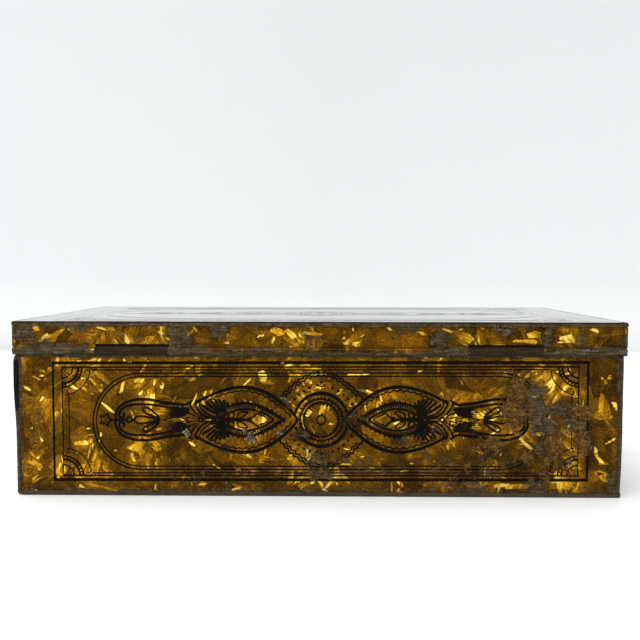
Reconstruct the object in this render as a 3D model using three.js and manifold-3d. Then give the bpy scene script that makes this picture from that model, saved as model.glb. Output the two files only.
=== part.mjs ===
// A rectangular hinged biscuit tin, folded and soldered from thin lacquered tinplate.
// Millimetres, +Z up. The origin is on the table, under the middle of the body. The hinged
// back faces -Y and the lid opens at the front, +Y. Left and right are as seen from the back.
import * as THREE from "three";
import { mergeVertices } from "three/addons/utils/BufferGeometryUtils.js";
import Module from "manifold-3d";

const wasm = await Module();
wasm.setup();

// Overall sizes, measured over the faces of the lid's rim.
const lidWidth = 254;
const lidDepth = 152;
const tinHeight = 73.2;
const rimHeight = 13.7; // from the lid's top face down to the underside of its rim

// Tinplate and how it is worked.
const sheet = 0.3; // thickness of the tinplate
const bendRadius = 0.45; // to the middle of the sheet, at every folded upright corner
const shoulderRadius = 0.9; // outside, where a plate is turned over at its edge
const shoulderCorner = 1; // outside, round that plate's corners in plan
const solderFilm = 0.05; // between two lapped sheets
const lapLength = 3; // inner flange that laps the neighbouring wall
const stripWidth = 1.5; // outer flange that is folded over a corner
const seamGap = 0.3; // between a folded edge and the edge that it stops at

// Fit of the lid over the body.
const fitGap = 1.3; // between the body's walls and the lid's rim, all round
const lidSeatGap = 0.3; // between the body's rolled edge and the underside of the lid

// Body.
const baseSeam = 1.9; // height of the bottom plate's upturned edge
const curlRadius = 0.7; // inward safety curl along the top of each wall
const curlSweep = THREE.MathUtils.degToRad(250);

// Lid.
const topSeam = 1.8; // depth of the top plate's turned-down edge
const hemSlit = 0.1; // left open inside the folded hem of the rim
const hemHeight = 3;

// Hinge: a wire in the rolled lower edge of the back rim, held by two straps on the body.
const wireRadius = 1.2;
const wireGap = 0.1; // between the wire and the roll round it
const wireInset = 0.5; // the wire's ends lie this deep in the roll
const rollSweep = THREE.MathUtils.degToRad(300);
const hingeInset = 50; // from an end of the lid's rim to the middle of the nearer strap
const strapWidth = 30;
const strapSheet = 0.5;
const knuckleGap = 0.15; // between the wire and the knuckle that turns on it
const leafHeight = 9; // how far the soldered leaf reaches above the wire's axis
const linkAngle = THREE.MathUtils.degToRad(-40); // where the link from the leaf meets the knuckle
const knuckleSweep = THREE.MathUtils.degToRad(290);
const notchSideGap = 0.3; // between a strap's edge and the notch in the rim
const notchTopGap = 0.9; // between the knuckle and the top of the notch

// Facets.
const bendSteps = 3;
const shoulderSteps = 4;
const curlSteps = 12;
const rollSteps = 20;
const wireSides = 24;
const cutOverrun = 1; // by which every cutter passes the faces that it cuts

// Sizes that follow from those above.
const bodyWidth = lidWidth - 2 * (sheet + fitGap);
const bodyDepth = lidDepth - 2 * (sheet + fitGap);
const bodyTop = tinHeight - sheet - lidSeatGap;
const wallFoot = shoulderRadius; // the walls stand where the bottom plate's shoulder ends
const curlAxisZ = bodyTop - curlRadius - sheet / 2;
const hemRadius = (sheet + hemSlit) / 2;
const hemDepth = 2 * hemRadius + sheet;
const rollRadius = wireRadius + wireGap + sheet / 2;
const knuckleRadius = wireRadius + knuckleGap + strapSheet / 2;
const hingeY = -(lidDepth / 2 - sheet / 2) - rollRadius;
const hingeDrop = rimHeight - rollRadius - sheet / 2; // from the lid's top face to the wire's axis
const hingeZ = tinHeight - hingeDrop;
const strapX = lidWidth / 2 - hingeInset; // each strap's middle, to one side or the other

// Which way an extrusion of a flat outline runs. Each basis puts the outline's x and y, and
// the direction of extrusion, along axes of the model.
const ALONG_X = new THREE.Matrix4().makeBasis(
  new THREE.Vector3(0, 1, 0),
  new THREE.Vector3(0, 0, 1),
  new THREE.Vector3(1, 0, 0),
);
const ALONG_MINUS_Y = new THREE.Matrix4().makeBasis(
  new THREE.Vector3(1, 0, 0),
  new THREE.Vector3(0, 0, 1),
  new THREE.Vector3(0, -1, 0),
);
const ALONG_Z = new THREE.Matrix4();

const point = (x, y) => new THREE.Vector2(x, y);

// Points on an arc about a centre, from one angle through a sweep.
function arc(centre, radius, start, sweep, steps) {
  return Array.from({ length: steps + 1 }, (_, i) => {
    const angle = start + (sweep * i) / steps;
    return point(centre.x + radius * Math.cos(angle), centre.y + radius * Math.sin(angle));
  });
}

// A line through the given corners, with each inner corner rounded to bendRadius.
function bentLine(corners) {
  return corners.flatMap((corner, i) => {
    if (i === 0 || i === corners.length - 1) return [corner];
    const back = corners[i - 1].clone().sub(corner).normalize();
    const on = corners[i + 1].clone().sub(corner).normalize();
    const half = back.angleTo(on) / 2;
    const from = corner.clone().addScaledVector(back, bendRadius / Math.tan(half));
    const to = corner.clone().addScaledVector(on, bendRadius / Math.tan(half));
    const middle = back.clone().add(on).normalize();
    const centre = corner.clone().addScaledVector(middle, bendRadius / Math.sin(half));
    const start = from.clone().sub(centre);
    const end = to.clone().sub(centre);
    const sweep = Math.atan2(start.cross(end), start.dot(end));
    return arc(centre, bendRadius, start.angle(), sweep, bendSteps);
  });
}

// The outline of a sheet of the given thickness that follows a centre line.
function sheetShape(line, thickness) {
  const last = line.length - 1;
  const along = line.slice(1).map((to, i) => to.clone().sub(line[i]).normalize());
  const edge = (side) =>
    line.map((here, i) => {
      const into = along[Math.max(i - 1, 0)];
      const out = along[Math.min(i, last - 1)];
      const across = into.clone().add(out).normalize();
      const reach = (side * thickness) / 2 / across.dot(into);
      return point(here.x - across.y * reach, here.y + across.x * reach);
    });
  return new THREE.Shape([...edge(1), ...edge(-1).reverse()]);
}

// A rectangle about the origin, with rounded corners.
function plateShape(width, depth, radius) {
  const x = width / 2 - radius;
  const y = depth / 2 - radius;
  const corners = [point(x, y), point(-x, y), point(-x, -y), point(x, -y)];
  const quarter = Math.PI / 2;
  return new THREE.Shape(corners.flatMap((c, i) => arc(c, radius, i * quarter, quarter, bendSteps)));
}

// An outline extruded along one of the bases, from one coordinate to another.
function extrude(shape, basis, from, to) {
  const geometry = new THREE.ExtrudeGeometry(shape, { depth: to - from, bevelEnabled: false });
  const start = basis === ALONG_MINUS_Y ? -to : from;
  return solid(geometry.translate(0, 0, start).applyMatrix4(basis));
}

// An outline extruded upwards from a height and rounded over at its lower edge. The upper
// edge is rounded over alike, twice the radius above the straight part's height.
function pillow(shape, radius, from, height) {
  const geometry = new THREE.ExtrudeGeometry(shape, {
    depth: height,
    bevelThickness: radius,
    bevelSize: radius,
    bevelOffset: -radius,
    bevelSegments: shoulderSteps,
  });
  return solid(geometry.translate(0, 0, from + radius));
}

function box(width, depth, height, centre) {
  return solid(new THREE.BoxGeometry(width, depth, height).translate(centre.x, centre.y, centre.z));
}

// A closed geometry as a solid that can be joined and cut.
function solid(geometry) {
  geometry.deleteAttribute("normal");
  geometry.deleteAttribute("uv");
  const merged = mergeVertices(geometry);
  return new wasm.Manifold(
    new wasm.Mesh({
      numProp: 3,
      vertProperties: new Float32Array(merged.attributes.position.array),
      triVerts: new Uint32Array(merged.index.array),
    }),
  );
}

const join = (first, ...others) => others.reduce((whole, other) => whole.add(other), first);

// A named piece of the tin from a finished solid.
function piece(name, made, material) {
  const { vertProperties, triVerts } = made.getMesh();
  const indexed = new THREE.BufferGeometry();
  indexed.setAttribute("position", new THREE.BufferAttribute(vertProperties, 3));
  indexed.setIndex(new THREE.BufferAttribute(triVerts, 1));
  const geometry = indexed.toNonIndexed();
  geometry.computeVertexNormals();
  const mesh = new THREE.Mesh(geometry, material);
  mesh.name = name;
  return mesh;
}

const lacquer = () => new THREE.MeshStandardMaterial({ color: 0x8f6512, roughness: 0.32, metalness: 0.9 });
const wornTin = () => new THREE.MeshStandardMaterial({ color: 0x5d5348, roughness: 0.5, metalness: 0.9 });
const steel = () => new THREE.MeshStandardMaterial({ color: 0x77736c, roughness: 0.4, metalness: 1 });

// A shallow tray: a plate whose edge is turned up round what it closes.
function tray(innerWidth, innerDepth, height) {
  const outerWidth = innerWidth + 2 * sheet;
  const outerDepth = innerDepth + 2 * sheet;
  const outside = plateShape(outerWidth, outerDepth, shoulderCorner);
  const inside = plateShape(innerWidth, innerDepth, shoulderCorner - sheet);
  const above = 2 * shoulderRadius + cutOverrun;
  const middle = new THREE.Vector3(0, 0, height + above / 2);
  return pillow(outside, shoulderRadius, 0, height)
    .subtract(pillow(inside, shoulderRadius - sheet, sheet, height))
    .subtract(box(outerWidth + cutOverrun, outerDepth + cutOverrun, above, middle));
}

// The sheet's line in plan along a back or front wall, with a lap flange at each end.
function lappedPlan(width, depth) {
  const faceY = -(depth / 2 - sheet / 2);
  const lapX = width / 2 - sheet - solderFilm - sheet / 2;
  return bentLine([
    point(-lapX, faceY + lapLength),
    point(-lapX, faceY),
    point(lapX, faceY),
    point(lapX, faceY + lapLength),
  ]);
}

// Half the length of the straight part of that line.
const straightHalf = (width) => width / 2 - sheet - solderFilm - sheet / 2 - bendRadius;

// The back wall, with its top curled inwards. Its edges lap inside the end walls.
function longWall() {
  const faceY = -(bodyDepth / 2 - sheet / 2);
  const curl = [
    point(faceY, curlAxisZ - curlRadius),
    ...arc(point(faceY + curlRadius, curlAxisZ), curlRadius, Math.PI, -curlSweep, curlSteps),
  ];
  const curlEnd = straightHalf(bodyWidth);
  return join(
    extrude(sheetShape(lappedPlan(bodyWidth, bodyDepth), sheet), ALONG_Z, wallFoot, curlAxisZ),
    extrude(sheetShape(curl, sheet), ALONG_X, -curlEnd, curlEnd),
  );
}

// The right end wall. Strips along its upright edges are folded over the long walls.
function endWall() {
  const faceX = bodyWidth / 2 - sheet / 2;
  const faceY = bodyDepth / 2 - shoulderCorner;
  const stripX = bodyWidth / 2 - stripWidth;
  const stripY = bodyDepth / 2 + solderFilm + sheet / 2;
  const folded = bentLine([
    point(stripX, -stripY),
    point(faceX, -stripY),
    point(faceX, stripY),
    point(stripX, stripY),
  ]);
  const curl = [
    point(faceX, curlAxisZ - curlRadius),
    ...arc(point(faceX - curlRadius, curlAxisZ), curlRadius, 0, curlSweep, curlSteps),
  ];
  const curlEnd = bodyDepth / 2 - sheet / 2 - lapLength - seamGap;
  return join(
    extrude(sheetShape([point(faceX, -faceY), point(faceX, faceY)], sheet), ALONG_Z, wallFoot, curlAxisZ),
    extrude(sheetShape(folded, sheet), ALONG_Z, baseSeam + seamGap, curlAxisZ),
    extrude(sheetShape(curl, sheet), ALONG_MINUS_Y, -curlEnd, curlEnd),
  );
}

// The lid's rim is built below z = 0, the lid's top face, about the middle of the lid.
const rimTop = -shoulderRadius;
const rimFoot = -rimHeight;

// A length of hem, from the outside of the rim's wall round to the inside.
function hemShape(wall, inward) {
  const axisZ = rimFoot + hemRadius + sheet / 2;
  const fold = arc(point(wall + inward * hemRadius, axisZ), hemRadius, 0, -Math.PI, 2 * bendSteps);
  const outsideFirst = inward < 0 ? fold : fold.reverse();
  const lap = point(wall + 2 * inward * hemRadius, rimFoot + hemHeight);
  return sheetShape([point(wall, rimFoot + hemHeight), ...outsideFirst, lap], sheet);
}

// The front and both ends of the rim in one strip, hemmed along its lower edge. Its ends
// are folded over the back of the rim, between the roll there and the top plate's edge.
function frontRim() {
  const faceX = lidWidth / 2 - sheet / 2;
  const frontY = lidDepth / 2 - sheet / 2;
  const backY = -(lidDepth / 2 - shoulderCorner);
  const stripX = lidWidth / 2 - stripWidth;
  const stripY = -(lidDepth / 2 + solderFilm + sheet / 2);
  const face = [point(-faceX, backY), point(-faceX, frontY), point(faceX, frontY), point(faceX, backY)];
  const folded = [
    point(-stripX, stripY),
    point(-faceX, stripY),
    point(-faceX, frontY),
    point(faceX, frontY),
    point(faceX, stripY),
    point(stripX, stripY),
  ];
  const hemTurn = rimFoot + hemRadius + sheet / 2;
  const stripFoot = rimFoot + 2 * rollRadius + sheet + seamGap;
  const frontHem = lidWidth / 2 - sheet - seamGap;
  const endHemFront = lidDepth / 2 - hemDepth - seamGap;
  const endHemBack = -(lidDepth / 2 - sheet / 2 - lapLength - seamGap);
  return join(
    extrude(sheetShape(bentLine(face), sheet), ALONG_Z, hemTurn, rimTop),
    extrude(sheetShape(bentLine(folded), sheet), ALONG_Z, stripFoot, -topSeam - seamGap),
    extrude(hemShape(frontY, -1), ALONG_X, -frontHem, frontHem),
    extrude(hemShape(faceX, -1), ALONG_MINUS_Y, endHemBack, endHemFront),
    extrude(hemShape(-faceX, 1), ALONG_MINUS_Y, endHemBack, endHemFront),
  );
}

// The back of the rim. Its lower edge is rolled outwards round the hinge wire, and is
// notched where the two straps take hold of the wire.
function backRim() {
  const faceY = -(lidDepth / 2 - sheet / 2);
  const roll = [
    point(faceY, rollRadius - hingeDrop),
    ...arc(point(faceY - rollRadius, -hingeDrop), rollRadius, 0, -rollSweep, rollSteps),
  ];
  const rollEnd = straightHalf(lidWidth);
  const whole = join(
    extrude(sheetShape(lappedPlan(lidWidth, lidDepth), sheet), ALONG_Z, -hingeDrop, rimTop),
    extrude(sheetShape(roll, sheet), ALONG_X, -rollEnd, rollEnd),
  );
  const notchWidth = strapWidth + 2 * notchSideGap;
  const notchDepth = 2 * (rollRadius + sheet + cutOverrun);
  const notchTop = knuckleRadius + strapSheet / 2 + notchTopGap - hingeDrop;
  const notchFoot = rimFoot - cutOverrun;
  const notch = (side) => {
    const middle = new THREE.Vector3(side * strapX, faceY - rollRadius, (notchTop + notchFoot) / 2);
    return box(notchWidth, notchDepth, notchTop - notchFoot, middle);
  };
  return whole.subtract(notch(-1)).subtract(notch(1));
}

// One hinge strap, about the wire's axis: a leaf on the back wall, and a knuckle that
// comes from it under the wire, round the outside and over the top.
function hingeStrap() {
  const leafY = -bodyDepth / 2 - solderFilm - strapSheet / 2 - hingeY;
  const meet = point(Math.cos(linkAngle), Math.sin(linkAngle)).multiplyScalar(knuckleRadius);
  const linkLength = (leafY - meet.x) / -Math.sin(linkAngle);
  const line = [
    point(leafY, leafHeight),
    point(leafY, meet.y + linkLength * Math.cos(linkAngle)),
    ...arc(point(0, 0), knuckleRadius, linkAngle, -knuckleSweep, rollSteps),
  ];
  return extrude(sheetShape(line, strapSheet), ALONG_X, -strapWidth / 2, strapWidth / 2);
}

// The body stays on the table.
const body = new THREE.Group();

const bottom = tray(bodyWidth + 2 * solderFilm, bodyDepth + 2 * solderFilm, baseSeam);
body.add(piece("bottom_plate", bottom, wornTin()));

for (const [name, turn] of [["back_wall", 0], ["front_wall", Math.PI]]) {
  const wall = piece(name, longWall(), lacquer());
  wall.rotation.z = turn;
  body.add(wall);
}

for (const [name, turn] of [["right_end_wall", 0], ["left_end_wall", Math.PI]]) {
  const wall = piece(name, endWall(), lacquer());
  wall.rotation.z = turn;
  body.add(wall);
}

for (const [name, side] of [["left_hinge_strap", -1], ["right_hinge_strap", 1]]) {
  const strap = piece(name, hingeStrap(), wornTin());
  strap.position.set(side * strapX, hingeY, hingeZ);
  body.add(strap);
}

// The lid turns about the wire: its group's x axis is the hinge axis.
const lid = new THREE.Group();
lid.position.set(0, hingeY, hingeZ);

const wireLength = 2 * (straightHalf(lidWidth) - wireInset);
const wireShape = new THREE.CylinderGeometry(wireRadius, wireRadius, wireLength, wireSides);
const wire = piece("hinge_wire", solid(wireShape), steel());
wire.rotation.z = Math.PI / 2;
lid.add(wire);

const lidShell = new THREE.Group();
lidShell.position.set(0, -hingeY, hingeDrop);
lidShell.add(piece("lid_back_rim", backRim(), lacquer()));
lidShell.add(piece("lid_front_rim", frontRim(), lacquer()));
lid.add(lidShell);

const top = piece("lid_top", tray(lidWidth + 2 * solderFilm, lidDepth + 2 * solderFilm, topSeam), lacquer());
top.rotation.x = Math.PI;
lidShell.add(top);

const tin = new THREE.Group();
tin.add(body, lid);

export default tin;
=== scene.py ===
import math

import bpy
import numpy as np
from mathutils import Matrix, Vector
from mathutils.geometry import tessellate_polygon


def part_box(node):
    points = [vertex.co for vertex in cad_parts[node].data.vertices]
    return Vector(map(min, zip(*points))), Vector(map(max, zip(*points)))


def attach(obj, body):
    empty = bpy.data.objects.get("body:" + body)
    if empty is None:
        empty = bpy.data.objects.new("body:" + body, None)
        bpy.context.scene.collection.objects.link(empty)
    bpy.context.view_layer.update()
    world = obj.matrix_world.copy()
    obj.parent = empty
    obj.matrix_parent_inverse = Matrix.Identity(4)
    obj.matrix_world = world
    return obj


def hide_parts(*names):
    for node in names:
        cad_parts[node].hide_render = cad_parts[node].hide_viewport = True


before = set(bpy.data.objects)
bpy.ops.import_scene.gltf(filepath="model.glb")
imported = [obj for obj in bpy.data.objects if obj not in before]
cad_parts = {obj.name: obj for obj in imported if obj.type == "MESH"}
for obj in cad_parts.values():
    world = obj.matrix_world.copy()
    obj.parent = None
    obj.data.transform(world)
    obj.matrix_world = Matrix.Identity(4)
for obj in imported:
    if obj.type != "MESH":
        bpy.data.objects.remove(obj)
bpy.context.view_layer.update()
bpy.context.scene.view_settings.view_transform = "Standard"
MM = 0.001

# %% [markdown]
# The tin was photographed from behind, at its own height, from less than half a metre
# away. The place and the three turns of the camera were found by matching the corners
# of the CAD model with those of the photograph. A camera in Blender looks along its own
# minus Z, so its three axes are worked out from the turns and put into a matrix.
# %% Camera
CAMERA_PLACE = Vector((6.0, -447.0, 94.2)) * MM
PITCH, YAW, ROLL = (math.radians(turn) for turn in (3.12, -0.83, 0.10))
ahead = Vector((math.sin(YAW) * math.cos(PITCH), math.cos(YAW) * math.cos(PITCH), -math.sin(PITCH)))
level = Vector((math.cos(YAW), -math.sin(YAW), 0))
upright = level.cross(ahead)
camera_right = level * math.cos(ROLL) + upright * math.sin(ROLL)
camera_up = upright * math.cos(ROLL) - level * math.sin(ROLL)

camera_data = bpy.data.cameras.new("camera")
camera_data.lens, camera_data.sensor_width = 50.78, 36
camera_data.clip_start = 0.01
camera = bpy.data.objects.new("camera", camera_data)
camera.matrix_world = Matrix.Translation(CAMERA_PLACE) @ Matrix(
    (camera_right, camera_up, -ahead)).transposed().to_4x4()
bpy.context.collection.objects.link(camera)
bpy.context.scene.camera = camera
print("camera", round((CAMERA_PLACE - Vector((0, -0.0744, 0.036))).length, 3), "m from the back panel")

# %% [markdown]
# A material is a small network of nodes. Writing one by hand takes many lines, so these
# helpers add a node, set it up and hand back its output, and a formula in the script
# then reads almost like the sentence that describes it.
# %% Helpers for materials
def set_inputs(made, inputs):
    """Gives each input of a node a number or a colour, or links it to another node's output."""
    for name, value in dict(inputs).items():
        if isinstance(value, bpy.types.NodeSocket):
            made.id_data.links.new(value, made.inputs[name])
        else:
            made.inputs[name].default_value = value


def node(tree, kind, inputs=(), **settings):
    made = tree.nodes.new(kind)
    for name, value in settings.items():
        setattr(made, name, value)
    set_inputs(made, inputs)
    return made


def maths(tree, operation, *values, clamp=False):
    return node(tree, "ShaderNodeMath", enumerate(values), operation=operation, use_clamp=clamp).outputs[0]


def times(tree, first, second):
    return maths(tree, "MULTIPLY", first, second)


def most(tree, first, second):
    return maths(tree, "MAXIMUM", first, second)


def add_up(tree, *values):
    total = values[0]
    for value in values[1:]:
        total = maths(tree, "ADD", total, value)
    return total


def sloped(tree, value, slope, start):
    return maths(tree, "MULTIPLY_ADD", value, slope, start)


def centred(tree, value, width, middle):
    """A number between 0 and 1, as a number that varies by so much about a middle."""
    return sloped(tree, value, width, middle - width / 2)


def vectors(tree, operation, first, second):
    return node(tree, "ShaderNodeVectorMath", {0: first, 1: second}, operation=operation).outputs["Vector"]


def scaled(tree, vector, scale):
    inputs = {0: vector, "Scale": scale}
    return node(tree, "ShaderNodeVectorMath", inputs, operation="SCALE").outputs["Vector"]


def split(tree, vector):
    """The three numbers of a vector or a colour."""
    return node(tree, "ShaderNodeSeparateXYZ", {0: vector}).outputs


def stored(tree, name, output="Fac"):
    """What each point of the mesh carries under this name."""
    return node(tree, "ShaderNodeAttribute", attribute_name=name).outputs[output]


def place_in_mm(tree):
    return scaled(tree, node(tree, "ShaderNodeTexCoord").outputs["Object"], 1 / MM)


def noise(tree, place, scale, detail, roughness=0.5, flat=False, output="Fac"):
    inputs = {"Vector": place, "Scale": scale, "Detail": detail, "Roughness": roughness}
    return node(tree, "ShaderNodeTexNoise", inputs, noise_dimensions="2D" if flat else "3D").outputs[output]


def mix(tree, share, first, second):
    """One colour fading into another."""
    return node(tree, "ShaderNodeMix", {0: share, 6: first, 7: second}, data_type="RGBA").outputs[2]


def blend(tree, share, first, second):
    """One number fading into another."""
    return node(tree, "ShaderNodeMix", {0: share, 2: first, 3: second}, data_type="FLOAT").outputs[0]


def step(tree, value, low, high):
    inputs = {"Value": value, "From Min": low, "From Max": high}
    return node(tree, "ShaderNodeMapRange", inputs, interpolation_type="SMOOTHSTEP").outputs["Result"]


def bumped(tree, height, strength, distance):
    inputs = {"Height": height, "Strength": strength, "Distance": distance}
    return node(tree, "ShaderNodeBump", inputs).outputs["Normal"]


def colour(red, green, blue):
    """A colour given as the 0 to 255 values of a picture, as Blender's linear light."""
    def linear(value):
        value /= 255
        return value / 12.92 if value <= 0.04045 else ((value + 0.055) / 1.055) ** 2.4
    return (linear(red), linear(green), linear(blue), 1.0)


def colour_ramp(tree, value, stops):
    """Colours for a value from 0 to 1, each stop being a place and its linear red, green, blue and 1."""
    made = node(tree, "ShaderNodeValToRGB", {"Fac": value})
    ramp = made.color_ramp
    while len(ramp.elements) < len(stops):
        ramp.elements.new(1.0)
    for element, (place, shade) in zip(ramp.elements, stops):
        element.position, element.color = place, shade
    return made.outputs["Color"]


def new_material(name):
    material = bpy.data.materials.new(name)
    material.use_nodes = True
    tree = material.node_tree
    return material, tree, tree.nodes["Principled BSDF"]


# %% [markdown]
# The set is a white table top with a pale wall a little over half a metre behind the
# tin, and the wall's colour is painted a touch lighter close to the table and darker higher
# up, as painted light and shade. A small gap behind the table's edge gives the fine grey
# line that crosses the picture. Two big soft lamps and a pale surrounding light make the
# shading soft, and the floor keeps the tin's own shadow. For the camera alone the table
# glows faintly, and so does the wall towards the right, as painted light.
# %% Floor, backdrop and lamps
def flat_board(name, corners, material):
    mesh = bpy.data.meshes.new(name)
    mesh.from_pydata(corners, [], [(0, 1, 2, 3)])
    mesh.materials.append(material)
    board = bpy.data.objects.new(name, mesh)
    bpy.context.collection.objects.link(board)


def seen_ray(tree):
    """1 for what the camera sees, straight or mirrored, and 0 for light that only bounces."""
    ray = node(tree, "ShaderNodeLightPath").outputs
    return most(tree, ray["Is Camera Ray"], most(tree, ray["Is Glossy Ray"], ray["Is Transmission Ray"]))


WHITE = (1, 1, 1, 1)
table_paint, tree, shader = new_material("table_white")
set_inputs(shader, {"Base Color": (0.90, 0.91, 0.90, 1), "Roughness": 0.6, "Emission Color": WHITE,
                    "Emission Strength": times(tree, seen_ray(tree), 0.20)})
flat_board("floor", [(-2.5, -2.2, 0), (2.5, -2.2, 0), (2.5, 0.62, 0), (-2.5, 0.59, 0)], table_paint)

wall_paint, tree, shader = new_material("wall_pale")
place = split(tree, node(tree, "ShaderNodeTexCoord").outputs["Object"])
# Painted light and shade: the wall's colour is lighter close to the table and darker higher up.
WALL_SHADES = [(0.0, (0.97, 0.98, 0.98, 1)), (0.1, (0.92, 0.94, 0.935, 1)), (0.22, (0.82, 0.84, 0.845, 1)),
               (1.0, (0.74, 0.755, 0.76, 1))]
# Painted light: the wall glows more towards the right, for the camera only.
glow = maths(tree, "MULTIPLY", place["X"], 0.22, clamp=True)
set_inputs(shader, {"Base Color": colour_ramp(tree, maths(tree, "DIVIDE", place["Z"], 0.4), WALL_SHADES),
                    "Roughness": 0.9, "Emission Color": WHITE,
                    "Emission Strength": times(tree, glow, seen_ray(tree))})
flat_board("backdrop", [(-3, 0.615, -0.05), (3, 0.645, -0.05), (3, 0.645, 2.2), (-3, 0.615, 2.2)], wall_paint)


def soft_lamp(name, place, aim, width, depth, power):
    lamp_data = bpy.data.lights.new(name, "AREA")
    lamp_data.shape, lamp_data.size, lamp_data.size_y, lamp_data.energy = "RECTANGLE", width, depth, power
    lamp = bpy.data.objects.new(name, lamp_data)
    lamp.location = place
    lamp.rotation_euler = (Vector(aim) - Vector(place)).to_track_quat("-Z", "Y").to_euler()
    bpy.context.collection.objects.link(lamp)


soft_lamp("lamp_over", (-0.35, -0.1, 1.5), (0, 0, 0), 1.6, 1.2, 14)
soft_lamp("lamp_front", (-0.9, -1.3, 1.0), (0, 0, 0.04), 1.2, 0.9, 9)

world = bpy.data.worlds.new("surroundings")
world.use_nodes = True
set_inputs(world.node_tree.nodes["Background"], {"Color": (0.92, 0.95, 0.97, 1), "Strength": 0.62})
bpy.context.scene.world = world

# %% [markdown]
# These are the tin's own lengths in millimetres, the same as in the CAD model, measured
# to the middle of the 0.3 mm sheet, or to its outer face where a name says so. X runs
# along the tin, Z is up, and minus Y is the side with the hinge, which the photograph shows.
# %% Sizes of the sheets
SHEET = 0.3
BEND = 0.45
WALL_X, WALL_Y = 125.25, 74.25
LAP_X, LAP, STRIP_Y = 124.9, 3, 74.6
WALL_FOOT, FOLD_Z, CURL_Z, CURL = 0.95, 2.2, 71.75, 0.7
RIM_X, RIM_Y, RIM_TOP = 126.85, 75.85, 72.3
RIM_LAP_X, RIM_STRIP_Y, RIM_LAP_TOP = 126.5, 76.2, 71.1
HEM_TURN, HEM_HALF, HEM_TOP = 59.85, 0.2, 62.5
WIRE_Y, WIRE_Z, ROLL_RADIUS = -77.3, 61.1, 1.45
STRAP_X, STRAP_HALF, STRAP_SHEET, KNUCKLE = 77.0, 15.0, 0.5, 1.6
NOTCH_TOP = 63.85
TOP_X, TOP_Y, TOP_Z, TOP_FOOT = 127.2, 76.2, 73.05, 71.4
BOTTOM_X, BOTTOM_Y, BOTTOM_Z, BOTTOM_TOP = 125.6, 74.6, 0.15, 1.9
WALL_FACE_X, WALL_FACE_Y, TOP_FACE_Z = 125.4, 74.4, 73.2
low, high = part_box("hinge_wire")
print("hinge wire axis in the CAD model:", [round(value / 2 / MM, 3) for value in (low + high).yz], "mm")

# %% [markdown]
# An old tin is never flat: its panels bow in and out by a few tenths of a millimetre and
# carry shallow dents, both ends have spread beside the hinge, the left one so far that the
# seam gapes, and one bottom corner is knocked. Functions give this movement for any point,
# so the sheet and the print on it move together. Waves and dents fade out near folds.
# %% The shape an old tin has taken
def ease(value, low, high):
    share = np.clip((value - low) / (high - low), 0, 1)
    return share * share * (3 - 2 * share)


DENTS = {
    "back": [(-52, 44, 8, -0.3), (38, 16, 9, -0.35), (84, 38, 11, -0.4), (-96, 18, 7, 0.2), (8, 50, 7, 0.2)],
    "front": [(-70, 30, 11, -0.4), (20, 42, 8, 0.25), (62, 18, 9, -0.35)],
    "left": [(30, 34, 9, -0.3), (-20, 20, 8, 0.25)],
    "right": [(-28, 30, 10, -0.35), (34, 22, 8, 0.2)],
}
SPREAD_Z = (0, 4, 12, 27, 33, 39, 45, 56.5, 58.6, 59.3, 60, 73)
LEFT_SPREAD = (0.8, 0.8, 0.85, 0.95, 1.2, 1.6, 1.85, 1.88, 1.5, 0.7, 0.5, 0.5)
RIGHT_SPREAD = (0, 0, 0.35, 0.6, 0.55, 0.6, 0.6, 0.7, 0.6, 0.5, 0.5, 0.5)


def spread(x, z):
    """How far the body's corners beside the hinge have moved along X, at the back panel."""
    left = np.minimum(np.interp(z, SPREAD_Z, LEFT_SPREAD), 0.95) * ease(-x, 112, 124)
    return np.interp(z, SPREAD_Z, RIGHT_SPREAD) * ease(x, 112, 124) - left


def swell(panel, u, v):
    """How far the middle of a panel stands out from flat, in mm, at u along and v up it."""
    u, v = np.asarray(u, float), np.asarray(v, float)
    if panel == "top":
        fade = ease(126 - abs(u), 0, 12) * ease(75.5 - abs(v), 0, 12)
        waves = np.sin(u / 19 + 0.8) * np.sin(v / 14 + 0.3) + np.sin(u / 34 - v / 21)
        return -fade * (0.2 + 0.06 * waves)
    half = 124.0 if panel in ("back", "front") else 73.0
    phase = {"back": 0.6, "front": 2.1, "left": 3.3, "right": 4.6}[panel]
    fade = ease(half - abs(u), 0, 10) * ease(v, 3, 12) * ease(58.5 - v, 0, 8)
    lift = 0.13 * np.sin(u / 15.5 + phase) * np.sin(v / 11 + phase) + 0.09 * np.sin(u / 9.8 + 2 * phase)
    for dent_u, dent_v, reach, depth in DENTS[panel]:
        lift = lift + depth * np.exp(-((u - dent_u) ** 2 + (v - dent_v) ** 2) / (2 * reach ** 2))
    lift = lift * fade
    if panel == "left":
        lift = lift + np.interp(v, SPREAD_Z, LEFT_SPREAD) * (1 - ease(74 - u, 0, 46))
    if panel == "right":
        lift = lift + np.interp(v, SPREAD_Z, RIGHT_SPREAD) * (1 - ease(74 + u, 0, 46))
    return lift


KNOCK_PLACE, KNOCK_REACH, KNOCK_PUSH = np.array((-126.5, -74.7, 0.0)), 1.6, np.array((0.35, 0.25, 0.35))


def knock(points):
    """Pushes in the bottom corner at the left of the hinge side."""
    near = np.exp(-np.sum((points - KNOCK_PLACE) ** 2, axis=-1) / KNOCK_REACH ** 2)
    return points + near[..., None] * KNOCK_PUSH


back_u, back_v = np.meshgrid(np.arange(-120, 121, 2), np.arange(4, 58, 2))
print("deepest part of the back panel:", round(float(swell("back", back_u, back_v).min()), 2), "mm")

# %% [markdown]
# Sheet metal is easiest to make as its middle surface: a row of points in plan, bent at
# the corners, is repeated at each height, and the rows go on round a curl or a hem. The
# Solidify modifier then gives the surface its thickness with closed edges. Its outside,
# its inside and its cut edge take three different materials.
# %% Helpers for sheet metal
SPACING = 2.0
SIDES = ("back", "left", "front", "right", "top", "bottom", "front rim", "back rim", "strap")
SHEETS_APART = 1000  # so far apart in mm on the flat, the sheets never show the same crystals
SHARP_FOLD = math.radians(38)


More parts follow.
